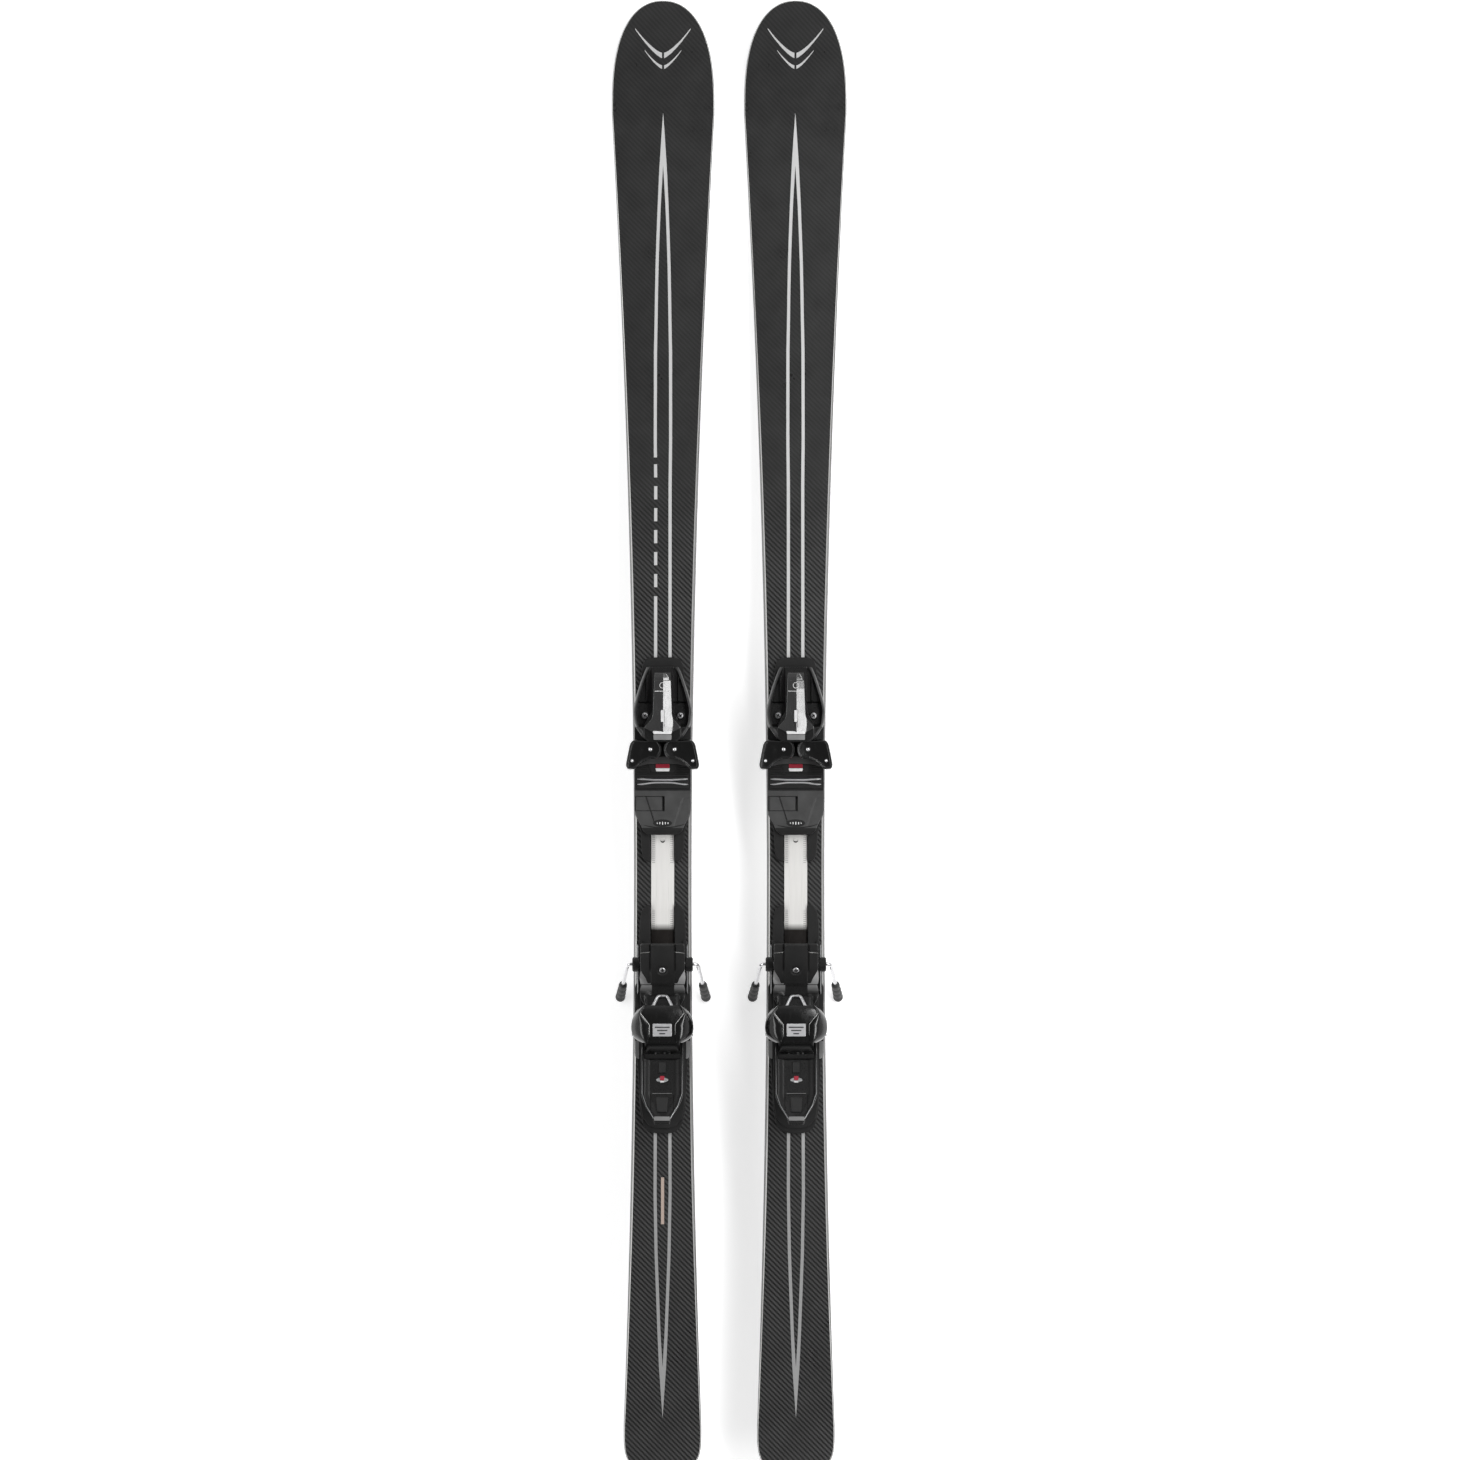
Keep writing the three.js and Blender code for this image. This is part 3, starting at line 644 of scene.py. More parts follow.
def timber():
    """Laminated strips of ash along the core."""
    look = Look("wood_core", (0.5, 0.34, 0.18), 0.6)
    rings_across = look.noise(18, detail=6, rough=0.6, vector=look.stretched((12, 0.6, 6)))
    strip = look.math("FLOORED_MODULO", look.math("FLOOR", look.math("MULTIPLY", look.axes()[0], 90)), 2.0)
    pale = look.mixed(rings_across, (0.62, 0.45, 0.26, 1), (0.45, 0.3, 0.15, 1))
    deep = look.mixed(rings_across, (0.5, 0.34, 0.18, 1), (0.34, 0.22, 0.11, 1))
    look.set("Base Color", look.mixed(strip, pale, deep))
    look.bump(rings_across, 0.3, 0.0002)
    return look.material


def sintered():
    """The black running base, stone-ground along its length."""
    look = Look("running_base", 0.018, 0.4)
    lines = look.noise(350, detail=3, vector=look.stretched((6, 0.02, 1)))
    look.set("Base Color", look.mixed(lines, grey(0.012), grey(0.03)))
    look.vary("Roughness", lines, 0.3, 0.5)
    look.bump(lines, 0.35, 0.00008)
    return look.material


def milled():
    """The grey sidewall, milled along its length."""
    look = Look("grey_sidewall", 0.12, 0.42, Specular_IOR_Level=0.25)
    lines = look.noise(300, detail=3, vector=look.stretched((1, 0.03, 4)))
    look.set("Base Color", look.mixed(lines, grey(0.045), grey(0.08)))
    look.vary("Roughness", lines, 0.3, 0.45)
    look.bump(lines, 0.2, 0.00005)
    return look.material


def sheen_and_shade():
    """A painted reflection: a light grey that stands in for the sheen on the slopes in front of the heel, and
    sinks into painted shade towards the rear.
    """
    look = Look("painted_sheen_and_shade", 0.15, 0.45)
    # painted shade: near-black towards the rear
    painted_shade_rear = look.between(look.axes()[1], -0.28, -0.2985, 0.0, 1.0)
    grain = look.noise(900, vector=look.stretched((1, 0.3, 1)))
    # painted reflection: the light grey of the sheen
    top = look.mixed(grain, grey(0.36), grey(0.46))
    look.set("Base Color", look.mixed(painted_shade_rear, top, grey(0.01)))
    look.bump(grain, 0.15, 0.00004)
    return look.material


def printed():
    """The red of the small flags."""
    look = Look("red_label", (0.32, 0.012, 0.03), 0.35)
    look.bump(look.noise(900), 0.1, 0.00003)
    return look.material


CARBON = carbon()
SILVER = inlay()
ROSE = rose()
# painted reflection and shade for the slopes in front of the heel
SHEEN_AND_SHADE = sheen_and_shade()
# bright metal for the topsheet's rim, and for the painted highlight lines on the pedal and the heel cup
RIM_AND_HIGHLIGHT = metal("rim_and_painted_highlight_line", (0.62, 0.62, 0.61), 0.36, (1, 0.05, 1))
SIDEWALL = milled()
EDGE = metal("edge_steel", (0.55, 0.55, 0.56), 0.28, (1, 0.03, 3))
BASE = sintered()
WOOD = timber()
MATTE = moulded("matte_black_moulding", 0.008, 0.55)
SATIN_BLACK = moulded("satin_black_moulding", 0.007, 0.3)
PANEL = moulded("satin_grey_moulding", 0.05, 0.5)
PEDAL = moulded("pedal_grey_moulding", 0.014, 0.48)
TIP = moulded("brake_tip_moulding", 0.045, 0.55, grain=600)
GLOSS = polished("gloss_black", 0.004)
COVER = polished("gloss_graphite", 0.028, 0.8, 0.8)
# a lighter grey painted on the toe housing's outer ridge as its highlight
RIDGE_HIGHLIGHT = moulded("ridge_painted_highlight", 0.03, 0.38)
STEEL = metal("bright_steel", (0.72, 0.72, 0.73), 0.22)
# satin steel, also used for the painted highlight line on the heel lever's rim
SATIN = metal("satin_steel_and_painted_highlight", (0.38, 0.385, 0.39), 0.4, (4, 1, 1))
PLAQUE = metal("plaque_silver", (0.6, 0.6, 0.61), 0.46, (1, 2, 1), 0.04)
SCREW_STEEL = metal("screw_steel", (0.55, 0.55, 0.56), 0.42)
MID = moulded("mid_grey_moulding", 0.2, 0.42)
SPRING = metal("spring_steel", (0.5, 0.5, 0.52), 0.3)
BAND = ruled()
# white for the markers and marks, and for the painted highlight on the toe cover's lip
WHITE = moulded("white_marker_and_painted_highlight", 0.72, 0.35)
RED = printed()

# ---- The ski's lay-up ----


def half_width(y):
    """Half the ski's width: a blunt nose, a parabolic sidecut and a squared-off tail."""
    if y >= SHOVEL[0]:
        share = max(0, HALF - y) / (HALF - SHOVEL[0])
        return SHOVEL[1] * (1 - (1 - share) ** 2.8) ** (1 / 2.2)
    if y <= TAIL[0]:
        share = max(0, HALF + y) / (HALF + TAIL[0])
        return TAIL[1] * (1 - (1 - share) ** 4) ** (1 / 4)
    end, power = (SHOVEL, 1.85) if y > WAIST[0] else (TAIL, 2)
    share = abs((y - WAIST[0]) / (end[0] - WAIST[0]))
    return WAIST[1] + (end[1] - WAIST[1]) * share**power


def base_height(y):
    """Camber in the middle, turned up at both ends."""
    rise = TIP_RISE * np.clip((y - CONTACT_FRONT) / (HALF - CONTACT_FRONT), 0, 1) ** 2.2
    kick = TAIL_RISE * np.clip((CONTACT_REAR - y) / (HALF + CONTACT_REAR), 0, 1) ** 2
    arch = FLAT_HEIGHT * ramp(y, CONTACT_FRONT, FLAT_FRONT) * ramp(y, CONTACT_REAR, FLAT_REAR)
    return rise + kick + arch


THICKEST = 16
THICKNESS = [
    (HALF, 5), (CONTACT_FRONT, 7.5), (FLAT_FRONT, THICKEST), (FLAT_REAR, THICKEST), (CONTACT_REAR, 8),
    (-HALF, 6),
]


def thickness(y):
    return along(y, THICKNESS)


def lean(deep):
    """How far the wall leans in for its thickness, as a share of the most."""
    return 0.3 + 0.7 * ramp(deep, 5, THICKEST)


def lay_up_stations():
    """Places along the ski, close together where its outline turns."""
    nose = [HALF - (HALF - SHOVEL[0]) * share**2 for share in np.linspace(0.012, 1, 48)]
    body = list(np.linspace(SHOVEL[0], TAIL[0], 170)[1:-1])
    end = [-HALF + (HALF + TAIL[0]) * share**3 for share in np.linspace(1, 0.06, 36)]
    return nose + body + end


STATIONS = lay_up_stations()


def side_line(distance):
    """The right-hand outline moved inwards by a distance for each thickness, as (half width, y) pairs."""
    line = []
    step = 0.002
    for y in STATIONS:
        slope = (half_width(y - step) - half_width(y + step)) / (2 * step)
        scale = distance(thickness(y)) / math.hypot(1, slope)
        line.append((max(half_width(y) - scale, 0.05), y - slope * scale))
    return line


def loop_piece(section):
    """A strip that runs round the whole ski. section gives (inset, height) corners for a thickness."""
    lines = [side_line(lambda deep, k=k: section(deep)[k][0]) for k in range(len(section(THICKEST)))]

    def ring(i, sign):
        corners = []
        for line, (_, rise) in zip(lines, section(thickness(STATIONS[i]))):
            x, y = line[i]
            corners.append((sign * x, y, base_height(y) + rise))
        return corners

    order = list(range(len(STATIONS)))
    return rings([ring(i, 1) for i in order] + [ring(i, -1) for i in reversed(order)], closed=True)


CROWN = 0.35  # how much higher the topsheet is on its centre line
RIM_DROP = 0.9  # how far the topsheet's rim bends down
BASE_SHEET = 1.4


def deck(x, y):
    """The topsheet's height."""
    half = np.vectorize(half_width)(y)
    return base_height(y) + thickness(y) + CROWN * (1 - np.clip(np.abs(x) / half, 0, 1) ** 2)


def topsheet():
    """The sheet, with a bright line along its bevelled rim."""
    outer = side_line(lambda deep: 2.1 * lean(deep))
    shoulder = side_line(lambda deep: 3.5 * lean(deep))
    shares = np.linspace(-1, 1, 19)
    points, faces, paint = [], [], []
    for (wide, y_out), (x_in, y_in) in zip(outer, shoulder):
        rim_level = float(base_height(y_out) + thickness(y_out)) - RIM_DROP
        points.append((-wide, y_out, rim_level))
        points += [(share * x_in, y_in, float(deck(share * x_in, y_in))) for share in shares]
        points.append((wide, y_out, rim_level))
    count = len(shares) + 2
    for i in range(len(outer) - 1):
        a, b = i * count, (i + 1) * count
        for j in range(count - 1):
            faces.append((a + j, a + j + 1, b + j + 1, b + j))
            paint.append(1 if j in (0, count - 2) else 0)
        faces.append((a, b, b + count - 1, a + count - 1))
        paint.append(1)
    faces.append(tuple(reversed(range(count))))
    faces.append(tuple(range(len(points) - count, len(points))))
    paint += [1, 1]
    return build("topsheet_skin", [outward((points, faces, paint))], [CARBON, RIM_AND_HIGHLIGHT], crease=25)


INLAY_OUTER = [
    (725, 0.05), (700, 1.9), (662, 4.3), (619, 6.3), (584, 7.6), (550, 8.7), (515, 9.4), (480, 9.9),
    (446, 10.6), (342, 10.7), (290, 10.2), (-440, 10.2), (-530, 10.5), (-600, 9.3), (-647, 7.6), (-693, 5.9),
    (-732, 4.1), (-790, 0.05),
]
INLAY_INNER = [
    (664, 0), (640, 1.4), (619, 2.6), (584, 4.0), (550, 5.1), (515, 5.8), (480, 6.3), (446, 6.9), (342, 7.1),
    (290, 6.5), (-440, 6.5), (-530, 6.9), (-600, 5.7), (-647, 4.0), (-693, 2.3), (-732, 0),
]


def strip(ys, inner, outer, sign=1, lift=0.12, depth=0.3):
    """A thin inlay on the topsheet between two lines along it."""
    loops = []
    for y in ys:
        x1, x2 = sign * float(inner(y)), sign * float(outer(y))
        z1, z2 = float(deck(x1, y)) + lift, float(deck(x2, y)) + lift
        loops.append([(x1, y, z1), (x2, y, z2), (x2, y, z2 - depth), (x1, y, z1 - depth)])
    return rings(loops)


def inlay_run(start, end, sign):
    """One of the inlay's two long lines, between two places along the ski."""
    count = max(3, int(abs(start - end) / 9))
    ys = np.linspace(start, end, count)
    return strip(ys, lambda y: along(y, INLAY_INNER), lambda y: along(y, INLAY_OUTER), sign)


def dashes(start, end, pitch, sign):
    """A plain broken run of the inlay."""
    dash = pitch * 0.6
    runs = []
    y = start
    while y - dash > end:
        runs.append(inlay_run(y, y - dash, sign))
        y -= pitch
    return runs


def spear(start, end):
    """The solid ends of the inlay."""
    ys = np.linspace(start, end, 16)
    outer = lambda y: along(y, INLAY_OUTER)
    return strip(ys, lambda y: -outer(y), outer)


def chevron(centre, half, depth, wide):
    """A plain V-shaped mark near the tip, in two halves that thin out towards their ends."""
    marks = []
    for sign in (1, -1):
        loops = []
        for share in np.linspace(0, 1, 12):
            x = sign * (half * share + 1.2)
            y = centre + depth * share**1.4
            thin = wide * (1 - 0.75 * share)
            loop = []
            for yy, drop in ((y, 0.1), (y - thin, 0.1), (y - thin, -0.2), (y, -0.2)):
                loop.append((x, yy, float(deck(abs(x), yy)) + drop))
            loops.append(loop)
        marks.append(rings(loops))
    return marks


def lay_up():
    """The layers of the ski, and the marks on its topsheet."""
    place("topsheet_skin", topsheet(), "ski", ["topsheet"])
    wall = lambda t: [
        (0.3, 2.5), (5.8, 2.5), (5.8, t - 1.2), (2.6 * lean(t), t - 1.2), (1.9 * lean(t), t - 1.8),
        (0.5 * lean(t), min(4.2, t - 2.2)),
    ]
    mesh = build("sidewall_loop", [loop_piece(wall)], [SIDEWALL])
    place("sidewall_loop", mesh, "ski", ["sidewall"])
    edge = lambda t: [(0.25, 0), (2, 0), (2, 2.2), (0.2, 2.2), (0, 2.0), (0, 0.25)]
    mesh = build("edge_loop", [loop_piece(edge)], [EDGE])
    place("edge_loop", mesh, "ski", ["steel_edge"])
    loops = []
    for x, y in side_line(lambda deep: 2.3):
        low = float(base_height(y))
        high = low + BASE_SHEET
        loops.append([(-x, y, low), (x, y, low), (x, y, high), (-x, y, high)])
    place("base_sheet", build("base_sheet", [rings(loops)], [BASE]), "ski", ["running_base"])

    front, rear = 664, -732  # where the two lines of the inlay meet
    ends = [spear(INLAY_OUTER[0][0], front), spear(rear, INLAY_OUTER[-1][0])]
    plain = [inlay_run(front, rear, sign) for sign in (1, -1)]
    broken = [inlay_run(front, 322, -1), *dashes(314, 162, 25.6, -1), inlay_run(160, rear, -1)]
    broken.append(inlay_run(front, rear, 1))
    crest = chevron(793, half=31, depth=27, wide=6) + chevron(779, half=20, depth=17, wide=4)
    for side, runs in (("left", broken), ("right", plain)):
        mesh = build(f"{side}_inlay", ends + runs + crest, [SILVER])
        place("silver_inlay", mesh, "ski", sides=[side])
    bar = strip(np.linspace(-513, -567, 12), lambda y: -1.8, lambda y: 1.8)
    place("rose_bar", build("rose_bar", [bar], [ROSE]), "ski", sides=["left"])


# ---- The rails and the length band ----


def rails():
    """The front and rear rails, and the band that keeps them at their distance."""
    nose = [(12, 88.5), (19.5, 87), (23, 81), (25.5, 64), (31, 36), (32.5, 20), (32.5, -91), (25.5, -112)]
    fork = [(24.5, -134), (22.5, -144), (18.5, -148), (14, -148), (14, -100.4)]
    shell = plate(both_sides([*nose, *fork]), 3.5, RAIL_BOTTOM, RAIL_TOP, 0.7)
    skin("front_rail", [shell], [MATTE], "ski")
    rear = [(14, -262), (14, -198), (19, -198.5), (24.5, -205), (26.5, -220), (27, -250), (28, -285)]
    tail = [(32, -292), (32, -372), (29, -380), (28, -400), (26, -436), (22, -454), (14, -461), (5, -462.5)]
    shell = plate(both_sides([*rear, *tail]), 3.5, RAIL_BOTTOM, RAIL_TOP, 0.7)
    guide = [(26.8, -355.5), (31.6, -355.5), (31.6, -371), (30, -375.5), (26.8, -376.5)]
    guides = plate(guide, 1.2, RAIL_TOP - 1, RAIL_TOP + 0.9, 0.5, paint=1)
    skin("rear_rail", [shell, guides, mirror(guides)], [MATTE, MID], "ski")

    def top(x, y):
        recess = 0.45 * ramp(np.abs(x), 7.4, 6.8) * ramp(y, -117.5, -118.2)
        hole = ramp(np.hypot(x, y + 123), 2.7, 2.2)
        return 22.2 - recess - 1.1 * hole

    lines = mirrored(fixed(2.8), fixed(6.8), fixed(7.4), fixed(13.3))
    ys = rows([-100.8, -117.5, -118.2, -120, -126, -262], 2.5, 0.4)
    ys = sorted({*ys, *np.linspace(-120, -126, 25)}, reverse=True)
    shell = relief(ys, lines, top, 20.6, 0.4, 0.4)
    arc = [(2.5 * math.cos(a), -123 + 2.5 * math.sin(a), 21.8) for a in np.linspace(-2.9, -0.24, 16)]
    shade = sweep(arc, lambda t: 0.15 + 0.6 * math.sin(math.pi * t), 8, paint=1)
    skin("length_band", [shell, shade], [BAND, MATTE], "ski")


# ---- The toe ----

TOE_HALF = [
    (76, 18.6), (72, 20.6), (50, 28.2), (35, 32.4), (24, 34.2), (12, 33), (6, 31), (0, 27.2), (-6, 23),
    (-11.5, 16),
]
TOE_TOP = [(76, 50), (68, 53.5), (50, 57), (33, 59.5), (22, 61), (6, 62.5), (-12, 62.5)]
TOE_DEPTH = [
    (76, 0.4), (68, 3), (50, 6.5), (36, 8.5), (34, 11), (10, 11), (6.2, 6), (5.8, 0.5), (-12, 0.5),
]
TOE_BLOCK = [(76, 12), (24, 12), (8, 20.6), (-12, 20.6)]
SCREW = (20.5, 19.6)
SCREW_RADIUS = 3.5


def toe_housing_top(x, y):
    """A raised middle, a channel on each side that deepens towards the screws, and the outer ridge."""
    away = np.abs(x)
    half = curve(y, TOE_HALF)
    block = along(y, TOE_BLOCK)
    ridge = along(y, TOE_TOP)
    shoulder = ridge - along(y, [(76, 3), (8, 3), (4, 0.6), (-12, 0.6)])
    fin = 2.6 * ramp(away, 17.2, 17.9) * ramp(away, 19.4, 18.7) * band(y, 38, 62, 5)
    channel = shoulder - along(y, TOE_DEPTH) + fin
    wall = ramp(away, half - 5.6, half - 3.4)
    height = channel + (shoulder - channel) * wall
    height = height + (ridge - height) * ramp(away, block + 1.4, block)
    outer = np.clip((away - half + 3.4) / 3.4, 0, 1)
    low = np.where(y < 6, 60.2, HOUSING_FLOOR + (ridge - HOUSING_FLOOR) * 0.6)
    return height - (height - low) * outer**3


def toe_housing():
    """The moulding, with its outer ridge painted a lighter grey as a highlight."""
    half = outline(TOE_HALF)
    block = lambda y: along(y, TOE_BLOCK)
    inner = [block, lambda y: block(y) + 1.4]
    fins = [lambda y, x=x: np.maximum(x, block(y) + 1.5) for x in (17.2, 17.9, 18.7, 19.4)]
    outer = [outline(TOE_HALF, -5.6), outline(TOE_HALF, -3.4), half]
    lines = mirrored(*inner, *fins, *outer)
    ys = rows([76, 36, 34, 10, 6.2, 6.0, 5.98, 5.8, -11.5], 0.6)
    floor = lambda x, y: np.where(y > 5.99, HOUSING_FLOOR, 59.3)
    # painted highlight: the lighter grey on the outer ridge
    ridge = lambda x, y: ((np.abs(x) > half(y) - 3.5) & (y > -3)).astype(int)
    shell = relief(ys, lines, toe_housing_top, floor, 0.7, paint=ridge)
    skin("toe_housing", [shell], [SATIN_BLACK, RIDGE_HIGHLIGHT], "toe_unit")


COVER_HALF = [(69, 9.4), (50, 10.1), (33, 10.7), (20, 11.2), (15, 12.4), (6, 20.4), (4.4, 20.4), (-0.6, 11)]
COVER_CREASE = 0.8  # where the dark facet meets the bright one
COVER_TILT = 13  # of the right facet, in degrees


def toe_cover_top(x, y):
    """Two facets that meet at the crease, a slot, and a nose that steps down."""
    crest = along(y, TOE_TOP) + 3.3
    right = np.minimum((x - COVER_CREASE) * math.tan(math.radians(COVER_TILT)), 2.7)
    left = np.minimum((COVER_CREASE - x) * math.tan(math.radians(COVER_TILT / 3)), 1.8)
    slot = ramp(np.abs(x), 2.3, 2.1) * band(y, 5.5, 25.5, 0.2)
    nose = 1.4 * ramp(y, 59.5, 60.2) + 0.8 * ramp(y, 62, 69)
    return crest - np.where(x > COVER_CREASE, right, left) - 1.5 * slot - nose


def toe_cover():
    """The glossy cover with its slot marker, its lip painted plain white as the highlight on its rear-facing
    edge, its ledge, and a line and a ring as plain marks.
    """
    half = lambda y: along(y, COVER_HALF)
    lines = [lambda y: -half(y), fixed(-2.3), fixed(-2.1), fixed(COVER_CREASE), fixed(2.1), fixed(2.3), half]
    base = lambda x, y: along(y, TOE_TOP) + 0.3
    ys = rows([69, 60.2, 59.5, 25.7, 25.5, 15, 6, 5.5, 5.3, 4.4, -0.6], 0.9, 0.5)
    body = relief(ys, lines, toe_cover_top, base, 0.9, 0.5)
    marker = plate(both_sides([(1.9, 25), (1.9, 11.5)]), 0.5, 63.2, 64.7, 0.3, paint=1)
    # painted highlight: the lip is plain white for the light that its rear-facing edge catches
    bright = plate(both_sides([(11.2, 0.9), (10.4, -2.7)]), 1.2, 62.8, 65.7, 0.9, paint=1)
    ledge = plate(both_sides([(10.6, -3.1), (10.2, -9.4)]), 0.9, 62.7, 64.0, 0.6, paint=2)
    line = [(x, 47.2) for x in np.linspace(-9, 9, 19)]
    turns = np.linspace(0, 2 * math.pi, 33)
    ring = [(3.2 * math.cos(a), 54 + 3.2 * math.sin(a)) for a in turns]
    shells = [body, marker, bright, ledge]
    for mark in (line, ring):
        path = [(x, y, float(toe_cover_top(x, y)) + 0.05) for x, y in mark]
        shells.append(sweep(path, 0.36, 10, paint=1))
    skin("toe_cover", shells, [COVER, WHITE, MID], "toe_unit", crease=12)


def toe_screws():
    """The two cross-head screws in the housing's channels, each on a collar."""
    heads = []
    level = float(toe_housing_top(*SCREW)) + 1.6
    for sign in (1, -1):
        x, y = sign * SCREW[0], SCREW[1]
        step = lambda r, x, y: 0.3 * ramp(r, 5.2, 4.6)
        heads.append(disc((x, y, level - 0.4), 5.2, step, 2, paint=1))
        head = disc((0, 0, 0), SCREW_RADIUS, cross_head(SCREW_RADIUS), 2, steps=22, segments=64)
        turn = Matrix.Translation((x, y, level)) @ Matrix.Rotation(0.5 * sign, 4, "Z")
        heads.append(moved(head, turn))
    mesh = build("toe_screws", heads, [SCREW_STEEL, SATIN_BLACK], crease=30)
    place("toe_screws", mesh, "toe_unit")


WING_PIN = (14, -19.7)
WING_HUB = 13.2  # the radius of its round end


def wing_shells():
    """The right wing: a lip with a raised rim over a hollowed block, and a rivet."""
    turns = np.radians(np.linspace(235, 125, 9))
    hub = [(WING_PIN[0] + WING_HUB * math.cos(a), WING_PIN[1] + WING_HUB * math.sin(a)) for a in turns]
    outer = [(20, -8.8), (28, -8.4), (34, -8.8), (37.6, -13), (40.2, -25.5), (42.5, -38), (41, -42.2)]
    outer.append((34, -42.8))
    mouth = [(29.8, -41.4), (26, -37), (21.7, -33.7), (14.3, -30.6)]
    wall = [(31.5, -36), (26, -30.5), (20, -27.2), (13, -25.8)]
    rim = [(0.6, 52.7), (0, 53.2), (0, 55.4), (0.3, 56.3), (0.8, 57.0), (1.4, 57.3), (2.0, 57.2)]
    rim += [(2.5, 56.7), (2.9, 56.6)]
    skirt = [(0.6, 34.2), (0.2, 35), (0.6, 44), (0.2, 52.9), (1, 53.4)]
    rivet = disc((35, -33, 56.7), 1.75, domed(1.75), 1, segments=28, paint=1)
    return [terrace([*hub, *outer, *mouth], 3, rim), terrace([*hub[1:], *outer, *wall], 3, skirt), rivet]


def wings():
    """Both wings, and the pins they turn on."""
    right = wing_shells()
    left = [mirror(shell) for shell in right]
    for hand, shells in (("left", left), ("right", right)):
        skin(f"toe_wing_{hand}", shells, [GLOSS, STEEL], f"toe_wing_{hand}_body")
    for hand, sign in (("left", -1), ("right", 1)):
        head = disc((sign * WING_PIN[0], WING_PIN[1], 57.7), 2.2, domed(2.2), 26, segments=32)
        skin(f"wing_pin_{hand}", [head], [STEEL], "toe_unit")


WINDOW_Y = -104.2  # the middle of the scale's oval window
LOCK_POCKET = (-73, -90)


def toe_carriage():
    """The plate under the toe: a crescent, a label in its recess, ribs, and the panel with the pocket."""
    base = both_sides([(20, 62), (31, 30), (32.5, 10), (32.5, -67), (20, -67)])
    shells = [plate(base, 3, CARRIAGE_BOTTOM, CARRIAGE_TOP, 0.6)]
    rise = [(0, -26.5), (11, -28), (21, -32), (29.5, -38.5), (18, -35.6), (0, -35)]
    crescent = [*rise, *[(-x, y) for x, y in reversed(rise[1:-1])]]
    shells.append(plate(crescent, 1.5, CARRIAGE_TOP, 33, 0.5, paint=1))
    shells.append(plate(both_sides([(17.5, -35.8), (13, -45.6)]), 2, CARRIAGE_TOP, 32.2, 0.4))
    shells.append(plate(both_sides([(8, -35.6), (8, -40)]), 0.8, 32.1, 32.9, 0.3, paint=2))
    shells.append(plate(both_sides([(8.4, -40.4), (7.6, -44)]), 0.8, 32.1, 32.9, 0.3, paint=3))
    for i in range(4):
        y = -37.2 - 2.5 * i
        reach = 18.6 - 1.0 * i
        rib = plate([(32, y), (32, y - 1.3), (reach, y - 1.3), (reach, y)], 0.5, CARRIAGE_TOP - 0.1, 32, 0.4)
        shells += [rib, mirror(rib)]
    shells.append(lock_panel())
    seam = [(x, -109.5 + 0.0065 * x * x, 35.25 - 0.0008 * x * x) for x in np.linspace(-25.5, 25.5, 41)]
    shells.append(sweep(seam, lambda t: 0.75 * math.sin(math.pi * min(max(t, 0.03), 0.97)) ** 0.4, 8))
    shells.append(round_plate(0, WINDOW_Y, 10.8, 4.4, 33, 35.75, 0.3))
    for x, tall in ((-6.2, 1.6), (-3.2, 2.6), (0, 3.4), (3.2, 2.6), (6.2, 1.6)):
        left, right, rear, front = x - 0.55, x + 0.55, WINDOW_Y - tall / 2, WINDOW_Y + tall / 2
        mark = [(right, front), (right, rear), (left, rear), (left, front)]
        shells.append(plate(mark, 0.3, 35.2, 35.95, 0.2, paint=3))
    skin("toe_carriage", shells, [MATTE, PANEL, RED, WHITE], "toe_unit")


def lock_button():
    """The button in the panel's pocket, with the panel's groove carried on across it."""
    half = 0.9  # of the groove's width
    groove = [lambda y: lock_groove(y) - half, lock_groove, lambda y: lock_groove(y) + half]
    lines = [fixed(-30.4), *groove, fixed(-0.9)]

    def top(x, y):
        return 35.2 + 0.3 * ramp(x, -30, -2) - 1.3 * ramp(np.abs(x - lock_groove(y)), half, 0.0)

    shell = relief(rows([-73.4, -89.6], 1, 0.5), lines, top, 32.9, 1, 0.5)
    skin("lock_button", [shell], [PANEL], "lock_button_body")


def lock_groove(y):
    """The line of the groove that runs back from the lock button to the window."""
    return along(y, [(-66, -21.6), (-104, -9.4)])


def lock_panel():
    """A shallow dome with the button's pocket, the groove from it to the window, and a ridge on the right."""
    half = outline([(-66, 32.6), (-88, 32.6), (-96, 30.4), (-107, 25), (-112, 23), (-117.5, 17)])
    crest = lambda y: along(y, [(-66, 27), (-82, 20), (-106, 12.5)])

    def top(x, y):
        height = 35.5 - 0.6 * (x / 33) ** 2 - 1.8 * ramp(y, -108, -117) ** 2
        pocket = ramp(x, 2.3, 2.1) * band(y, LOCK_POCKET[1], LOCK_POCKET[0], 0.2)
        groove = 1.6 * ramp(np.abs(x - lock_groove(y)), 1.0, 0) * ramp(y, -90, -91) * ramp(y, -103.5, -102)
        ridge = 0.7 * ramp(x, crest(y), crest(y) + 1.6) * band(y, -106, -78, 5)
        height = height - groove - ridge
        return height + (CARRIAGE_TOP - height) * pocket

    paint = lambda x, y: (y > -109.6).astype(int)
    pocket = [fixed(2.1), fixed(2.3)]
    groove = [lambda y: lock_groove(y) - 1.0, lock_groove, lambda y: lock_groove(y) + 1.0]
    lines = [lambda y: -half(y), *groove, *pocket, crest, lambda y: crest(y) + 1.6, half]
    ys = rows([-66.3, -72.8, -73, -90, -90.2, -109.6, -117.5], 0.8, 0.7)
    return relief(ys, lines, top, CARRIAGE_BOTTOM, 1.0, 0.7, paint)


